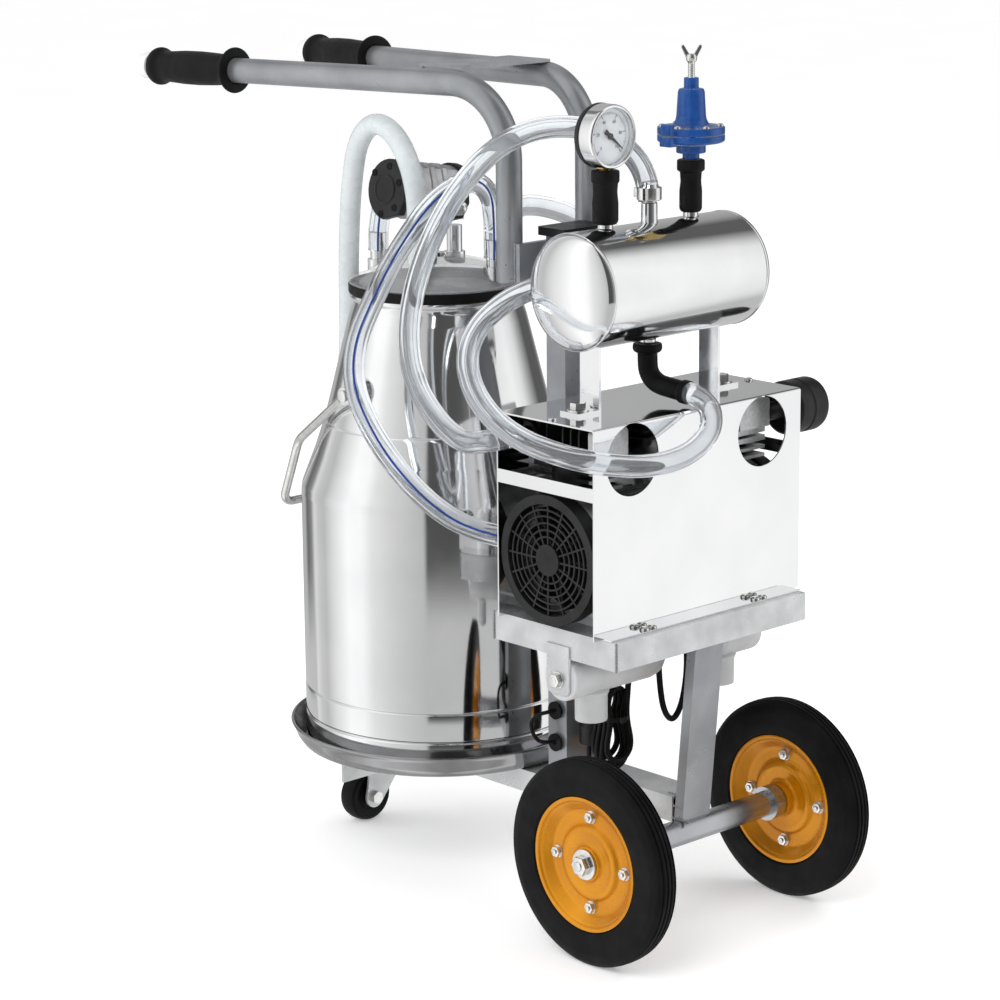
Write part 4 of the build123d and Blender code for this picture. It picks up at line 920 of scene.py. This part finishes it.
def make_elbow():
    """Rubber elbow below the tank, with a bead at each end."""
    top = TANK_BOTTOM - 5
    bend = [(TANK_X, -5, top), (TANK_X, -5, 556), (TANK_X + 1, -5, 540), (TANK_X + 12, -4.5, 531),
            (-30, -3.5, 529), (-6, -2, 527)]
    spline("elbow_bend", bend, 9.6, "dark_rubber", ("tank_elbow",))
    bm = bmesh.new()
    bead = [(8, 0), (13.4, 0), (14, 2), (14, 6), (12, 8.4), (9, 9)]
    add_lathe(bm, (TANK_X, -5, top), "-Z", bead, 1.4, 72)
    add_lathe(bm, (-14, -2.4, 527.6), (1, 0.06, -0.08), [(9, 0), (11.3, 0.4), (11.3, 7.6), (9, 8)], 0.8, 72)
    finish(bm, "elbow_beads", "dark_rubber")


def dial_number(text, at, size):
    """Flat number on the gauge's face."""
    curve = bpy.data.curves.new("number", "FONT")
    curve.body = text
    curve.size = size * MM
    curve.align_x = "CENTER"
    curve.align_y = "CENTER"
    holder = bpy.data.objects.new("number", curve)
    bpy.context.scene.collection.objects.link(holder)
    mesh = bpy.data.meshes.new_from_object(holder)
    bpy.data.objects.remove(holder)
    turn = Matrix(((0, 0, 1, 0), (1, 0, 0, 0), (0, 1, 0, 0), (0, 0, 0, 1)))
    mesh.transform(Matrix.Translation(place(*at)) @ turn)
    return mesh


def make_gauge_case(back):
    """Black back, polished bezel and brass stem."""
    at = (back, GAUGE_Y, GAUGE_Z)
    turned("gauge_back", "black_casting", at, "X", [
        (1.4, 0), (25, 0), (29, 1), (30, 3), (30, 6.6), (29, 7), (1.4, 7)], nodes=("gauge_case",))
    turned("gauge_bezel", "polished_steel", at, "X", [
        (29.2, 6.8), (29.7, 8), (29.6, 21), (29.2, 23.2), (27.8, 24), (26.4, 23.6), (26.1, 21.6), (26.1, 8),
        (28, 7)], radius=0.7, segments=128, look="tank_steel")
    bm = bmesh.new()
    washer = [(0, 0), (6, 0), (6, 1.6), (0, 1.6)]
    add_lathe(bm, (TANK_X, GAUGE_Y, COUPLING_TOP), "Z", washer, 0.3, 48, closed=False)
    add_hexagon(bm, (TANK_X, GAUGE_Y, COUPLING_TOP + 1), "Z", 14, GAUGE_Z - 28.5 - TANK_TOP - 55)
    finish(bm, "gauge_stem", "brass")


def make_gauge_scale(face):
    """Printed ticks over three quarters of a turn, with a number at every tenth."""
    bm = bmesh.new()
    for k in range(DIAL_TICKS + 1):
        angle = math.radians(225 - 270 * k / DIAL_TICKS)
        numbered = k % 10 == 0
        inner = 18.2 if numbered else (19.6 if k % 5 == 0 else 20.6)
        out = Vector((0, math.cos(angle), math.sin(angle)))
        side = Vector((0, -out.z, out.y))
        width = 0.34 if numbered else 0.18
        corners = ((inner, -width), (22.4, -width), (22.4, width), (inner, width))
        add_plate(bm, (face, GAUGE_Y, GAUGE_Z), out, side, corners, 0.12)
    for k in range(6):
        angle = math.radians(225 - 270 * k / 5)
        spot = (face + 0.15, GAUGE_Y + 14.6 * math.cos(angle), GAUGE_Z + 14.6 * math.sin(angle))
        bm.from_mesh(dial_number(str(DIAL_STEP * k), spot, 4.4))
    finish(bm, "gauge_scale", "dial_white", look="dial_ink")


def make_gauge():
    """Vacuum gauge, apart from its dial, pointer and window."""
    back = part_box("gauge_case")[0][0] / MM - ORIGIN.x / MM
    make_gauge_case(back)
    make_gauge_scale(back + 17.1)


def make_regulator_housing(at):
    """Blue lower housing and bonnet, bolted together at their flanges."""
    bm = bmesh.new()
    add_lathe(bm, at, "Z", [
        (0, 0), (8, 0), (8, 5.4), (14, 6), (14, 13.4), (22, 14.6), (30, 16), (32, 17.6), (32, 23.3),
        (0, 23.3)], 0.9, 96, closed=False)
    add_box(bm, (at[0] - 7, at[0] + 7), (at[1] - 36, at[1] - 26), (at[2] + 14, at[2] + 23), 1.2)
    finish(bm, "regulator_lower", "blue_paint", nodes=("regulator_body",))
    bm = bmesh.new()
    add_lathe(bm, at, "Z", [
        (0, 23.9), (32, 23.9), (32, 30.4), (30.5, 31), (23, 31.2), (17, 33), (14.8, 37), (14, 41),
        (12.7, 63), (11.6, 66), (7.6, 66.4), (7, 67.5), (7, 76), (6.4, 76.5), (3.7, 76.5), (3.7, 60),
        (0, 60)], 0.9, 96, closed=False)
    add_box(bm, (at[0] - 6, at[0] + 6), (at[1] - 35.5, at[1] - 27), (at[2] + 24.4, at[2] + 35), 1.2)
    finish(bm, "regulator_upper", "blue_paint", nodes=("regulator_bonnet",))
    bm = bmesh.new()
    for k in range(6):
        spoke = math.radians(-75 + 60 * k)
        spot = (at[0] + 27 * math.cos(spoke), at[1] + 27 * math.sin(spoke), at[2] + 30.8)
        add_lathe(bm, spot, "Z", [(0, 0), (3.4, 0), (3.2, 1.6), (2, 2.4), (0, 2.6)], 0.4, 32, closed=False)
    finish(bm, "regulator_studs", "galvanised", look="bright_zinc")


def make_thumb_screw(at):
    """Threaded screw with a domed top and two raised wings."""
    bm = bmesh.new()
    shaft = [(0, 52), (3.4, 52)]
    for k in range(14):
        shaft += [(3.4, 67 + 1.6 * k), (3.0, 67.8 + 1.6 * k)]
    top = [(3.4, 90), (5, 92), (5.4, 95), (4.2, 98), (0, 98.6)]
    add_lathe(bm, at, "Z", shaft + top, 0.3, 40, closed=False)
    wing = [(1.5, 93), (4.5, 93.4), (9.8, 104.4), (9.2, 106.6), (7.2, 106.8), (2.2, 98.6)]
    along = Vector((math.sin(WING_TURN), math.cos(WING_TURN), 0))
    start = Vector(at) - along.cross(Vector((0, 0, 1))) * 1.3
    for outline in (wing, [(-a, b) for a, b in reversed(wing)]):
        add_plate(bm, tuple(start), along, (0, 0, 1), outline, 2.6, 0.7)
    finish(bm, "thumb_screw", "galvanised", "regulator_knob", ("regulator_screw",), "bright_zinc")


make_tank()
make_hose_clamp()
make_couplings()
make_elbow()
make_gauge()
make_regulator_housing((TANK_X, REGULATOR_Y, COUPLING_TOP))
make_thumb_screw((TANK_X, REGULATOR_Y, COUPLING_TOP))


# ---- handles ----
def add_grip_ribs(bm, at, way):
    """Thin ribs along a grip."""
    u, v = across_axis(way)
    for k in range(GRIP_RIBS):
        angle = 2 * math.pi * k / GRIP_RIBS
        out = u * math.cos(angle) + v * math.sin(angle)
        sideways = u * -math.sin(angle) + v * math.cos(angle)
        spot = Vector(at) + out * 15.9 - sideways * 0.5
        add_plate(bm, tuple(spot), way, sideways, [(26, 0), (84, 0), (84, 1), (26, 1)], 1.2, 0.25)


def make_grips():
    """Rubber grips with a wide inner flange, and the white caps of the tubes."""
    for name, side in SIDES.items():
        first = side > 0
        tip, bend = (Vector((x, side * y, z)) for x, y, z in (HANDLE_TIP, HANDLE_BEND))
        way = (tip - bend).normalized()
        at = tuple(tip - way * GRIP_START)
        bm = bmesh.new()
        add_lathe(bm, at, way, [
            (12.8, 0), (22.4, 0), (23.4, 1.6), (23, 4), (19, 6.5), (16.4, 10), (15.6, 15), (16.6, 30),
            (17.4, 52), (17.2, 74), (16, 94), (15.8, 101), (17.4, 105), (19.4, 108), (19.6, 112),
            (18, 116), (12.8, 118)], 2.2, 96)
        add_grip_ribs(bm, at, way)
        finish(bm, f"grip_{name}", "dark_rubber", nodes=("handle_grips",) if first else ())
        turned(f"tube_cap_{name}", "white_plastic", tuple(tip), way, [
            (0, -14), (11.1, -14), (11.1, -8), (13.4, -8), (13.6, 1), (12.4, 4), (8, 5.8), (0, 6)],
            nodes=("tube_end_plugs",) if first else (), radius=1.4, closed=False, look="cap_white")


make_grips()


# ---- pump filter and silencers ----
def make_filter():
    """Round intake filter with its clip band."""
    low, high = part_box("pump_filter")
    middle_x, middle_z = (low[0] + high[0]) / 2, (low[2] + high[2]) / 2
    at = tuple((Vector((middle_x, low[1], middle_z)) - ORIGIN) / MM)
    end = (high[1] - low[1]) / MM
    turned("filter_body", "black_plastic", at, "Y", [
        (0, 0), (9, 0), (9, 24), (24, 25), (26.5, 28), (26.5, 42), (25.4, 42.6), (25.4, 45.4), (26.5, 46),
        (26.5, end - 6), (25.2, end - 2), (22, end), (14, end), (13, end - 1.4), (0, end - 1.4)],
        nodes=("pump_filter",), closed=False)


def add_silencer(bm, side, length):
    """Body along Y with a tapered inner end, and its outlet pointing down."""
    body = [(0, 0), (19, 0), (21.3, 1.4), (21.5, 4), (21.5, length - 18), (19.6, length - 9),
            (14, length - 1), (0, length)]
    outlet = [(0, 0), (17.5, 19), (15.7, 23), (15.5, 48), (13.6, 48), (13.6, 30), (0, 30)]
    add_lathe(bm, (SILENCER_X, side * 129, SILENCER_Z), y_axis(-side), body, 1.4, 96, closed=False)
    add_lathe(bm, (SILENCER_X, side * 88, SILENCER_Z), "-Z", outlet, 0.8, 72, closed=False)


def add_silencer_bolt(bm, side):
    """Washer, bolt head and thread end on a hanger plate."""
    washer, head, thread = ((SILENCER_X, side * y, SILENCER_Z) for y in (132, 133.3, 137.8))
    outward = y_axis(side)
    add_lathe(bm, washer, outward, [(0, 0), (8.4, 0), (8.2, 1.3), (0, 1.4)], 0.3, 48, closed=False)
    add_hexagon(bm, head, outward, 12.4, 4.6)
    add_lathe(bm, thread, outward, [(0, 0), (3.6, 0), (3.2, 0.4), (0, 0.4)], 0.2, 32, closed=False)


def make_silencers():
    """Tee-shaped silencers, each on a hanger plate with a bolt."""
    bodies, plates, bolts = bmesh.new(), bmesh.new(), bmesh.new()
    hanger = [(-15, 34), (-15, -9), (-13.5, -12.5), (-10, -14), (10, -14), (13.5, -12.5), (15, -9),
              (15, 34)]
    for side, length in SILENCER_LENGTHS.items():
        add_silencer(bodies, side, length)
        add_plate(plates, (SILENCER_X, HANGER_Y[side], SILENCER_Z), (1, 0, 0), (0, 0, 1), hanger, 2.8, 0.6)
        add_silencer_bolt(bolts, side)
    finish(bodies, "silencer_bodies", "white_plastic", nodes=("exhaust_silencers",))
    finish(plates, "silencer_hangers", "frame_paint", look="tray_paint")
    finish(bolts, "silencer_bolts", "galvanised", look="bright_zinc")


make_filter()
make_silencers()


# ---- pulsator ----
def pulsator_spot(x, y, z):
    """A point given across, along and up the tilted pulsator, from the middle of its near end."""
    return tuple(PULSATOR + Vector((x, 0, 0)) + PULSATOR_ALONG * y + PULSATOR_UP * z)


def add_pulsator_slice(bm, start, depth, scale, bevel):
    """Slice of the pulsator, rounded on one side and cut flat on the others."""
    arc = [(31 * math.cos(a), 31 * math.sin(a)) for a in (math.radians(60 + 12.5 * k) for k in range(17))]
    outline = [(-x * scale, z * scale) for x, z in arc + [(18, -24), (26, -8), (22, 12)]]
    add_plate(bm, pulsator_spot(0, start, 0), (-1, 0, 0), PULSATOR_UP, outline, depth, bevel)


def make_pulsator_body():
    """Silver body with three raised bands."""
    bm = bmesh.new()
    add_pulsator_slice(bm, 4, 70, 0.9, 1.2)
    for start in (18, 34, 50):
        add_pulsator_slice(bm, start, 8, 0.94, 1.2)
    finish(bm, "pulsator_housing", "cast_alloy", nodes=("pulsator_body",))


def make_pulsator_ends():
    """Two black end blocks with a raised ring, and the foot on the lid."""
    bm = bmesh.new()
    for start in (-5, 74):
        add_pulsator_slice(bm, start, 9, 0.985, 1.4)
    ring = [(0, -1), (15, -1), (15, 0.6), (14, 1.2), (12.6, 1.2), (12, 0.5), (0, 0.5)]
    for way, face in PULSATOR_ENDS:
        add_lathe(bm, pulsator_spot(-5, face, 0), tuple(PULSATOR_ALONG * way), ring, 0.4, 64, closed=False)
    foot = [(0, 0), (12, 0), (12, 8), (10, 11), (10, 45), (0, 45)]
    add_lathe(bm, (-352, -22, LID_Z + 20), "Z", foot, 1.2, 48, closed=False)
    finish(bm, "pulsator_ends", "black_plastic", nodes=("pulsator_covers",))


def make_pulsator_screws():
    """Sunk screws in both end blocks."""
    bm = bmesh.new()
    rim = [(0, 0.3), (2.6, 0.3), (2.6, -2), (3.6, -2), (3.6, 0.7), (2.6, 0.7)]
    for way, face in PULSATOR_ENDS:
        for x, z in PULSATOR_SCREWS:
            add_lathe(bm, pulsator_spot(x, face, z), tuple(PULSATOR_ALONG * way), rim, 0.2, 32,
                      closed=False)
    finish(bm, "pulsator_screws", "black_plastic", look="dark_rubber")


def make_port_screw():
    """Bright screw with a cross on its head, at the far end."""
    bm = bmesh.new()
    face = Vector((0.86, -0.3, -0.4)).normalized()
    seat = Vector(pulsator_spot(19, 74, -12))
    head = [(0, 0), (8, 0), (8, 5), (6.6, 6), (5.6, 7.6), (3, 8.4), (0, 8.6)]
    add_lathe(bm, tuple(seat), face, head, 0.5, 40, closed=False)
    u, v = across_axis(face)
    for one, two in ((u, v), (v, -u)):
        start = seat + face * 8.2 - one * 3.2 - two * 0.6
        add_plate(bm, tuple(start), one, two, [(0, 0), (6.4, 0), (6.4, 1.2), (0, 1.2)], 0.8)
    finish(bm, "pulsator_port_screw", "galvanised", look="bright_zinc")


make_pulsator_body()
make_pulsator_ends()
make_pulsator_screws()
make_port_screw()


# ---- bolts on the cover, and weld beads ----
def make_fasteners():
    """Hexagon bolts with washers on the tank's brackets, and small screws along the cover."""
    bm = bmesh.new()
    for way in (1, -1):
        y = way * 97
        add_lathe(bm, (TANK_X, y, COVER_TOP + 3), "Z", [(0, 0), (10.4, 0), (10.2, 1.4), (0, 1.5)], 0.3, 64,
                  closed=False)
        add_hexagon(bm, (TANK_X, y, COVER_TOP + 4.4), "Z", 13, 6.6)
        add_lathe(bm, (TANK_X, y, COVER_TOP - 1.5), "-Z", [(0, 0), (7.2, 0), (7.2, 5), (0, 5)], 0.5, 6,
                  closed=False)
        add_lathe(bm, (TANK_X + 3, way * 133, COVER_TOP), "Z", [
            (0, 0), (4.4, 0), (3.6, 1.9), (2, 2.6), (0, 2.8)], 0.4, 32, closed=False)
        for shift in (-5, 5):
            add_lathe(bm, (13.3, way * 76 + shift, TRAY_TOP + 1.5), "Z", [
                (0, 0), (4.8, 0), (4.4, 2), (2.4, 3.2), (0, 3.4)], 0.4, 32, closed=False)
    finish(bm, "cover_bolts", "galvanised", nodes=("cover_fasteners",), look="bright_zinc")


def make_welds():
    """Rows of overlapping beads where the frame's pieces meet."""
    bm = bmesh.new()
    for start, end in WELDS:
        start, end = Vector(start), Vector(end)
        count = max(3, int((end - start).length / WELD_STEP))
        for k in range(count + 1):
            size = (1.35 + 0.25 * math.sin(2.4 * k)) * MM
            spot = Matrix.Translation(place(*start.lerp(end, k / count)))
            bmesh.ops.create_icosphere(bm, subdivisions=2, radius=size, matrix=spot)
    finish(bm, "weld_beads", "frame_paint")


make_fasteners()
make_welds()


# ---- materials of the CAD nodes that stay, and what shows in shadow and reflection ----
SLOT_OF = {part["node"]: part["material_slot"] for part in frame["record"]["subparts"]}
OTHER_LOOK = {
    "pump_cover": "mirror_sheet", "tray_frame": "tray_paint", "spine_beams": "tray_paint",
    "tank_brackets": "tank_steel", "cover_fasteners": "bright_zinc", "pump_heads": "head_metal",
    "front_post": "frame_paint", "cross_angle": "tray_paint", "caster_fork": "tray_paint",
    "caster_axle": "bright_zinc", "axle_tube": "axle_steel", "bucket_bail": "bright_zinc",
}
for node, shape in frame["nodes"].items():
    shape.data.materials.clear()
    shape.data.materials.append(LOOK[OTHER_LOOK.get(node, SLOT_OF[node])])

frame["nodes"]["gauge_glass"].visible_shadow = False
bpy.data.objects["lid_dome"].visible_shadow = False
for name in ("regulator_lower", "regulator_upper"):
    bpy.data.objects[name].visible_glossy = False
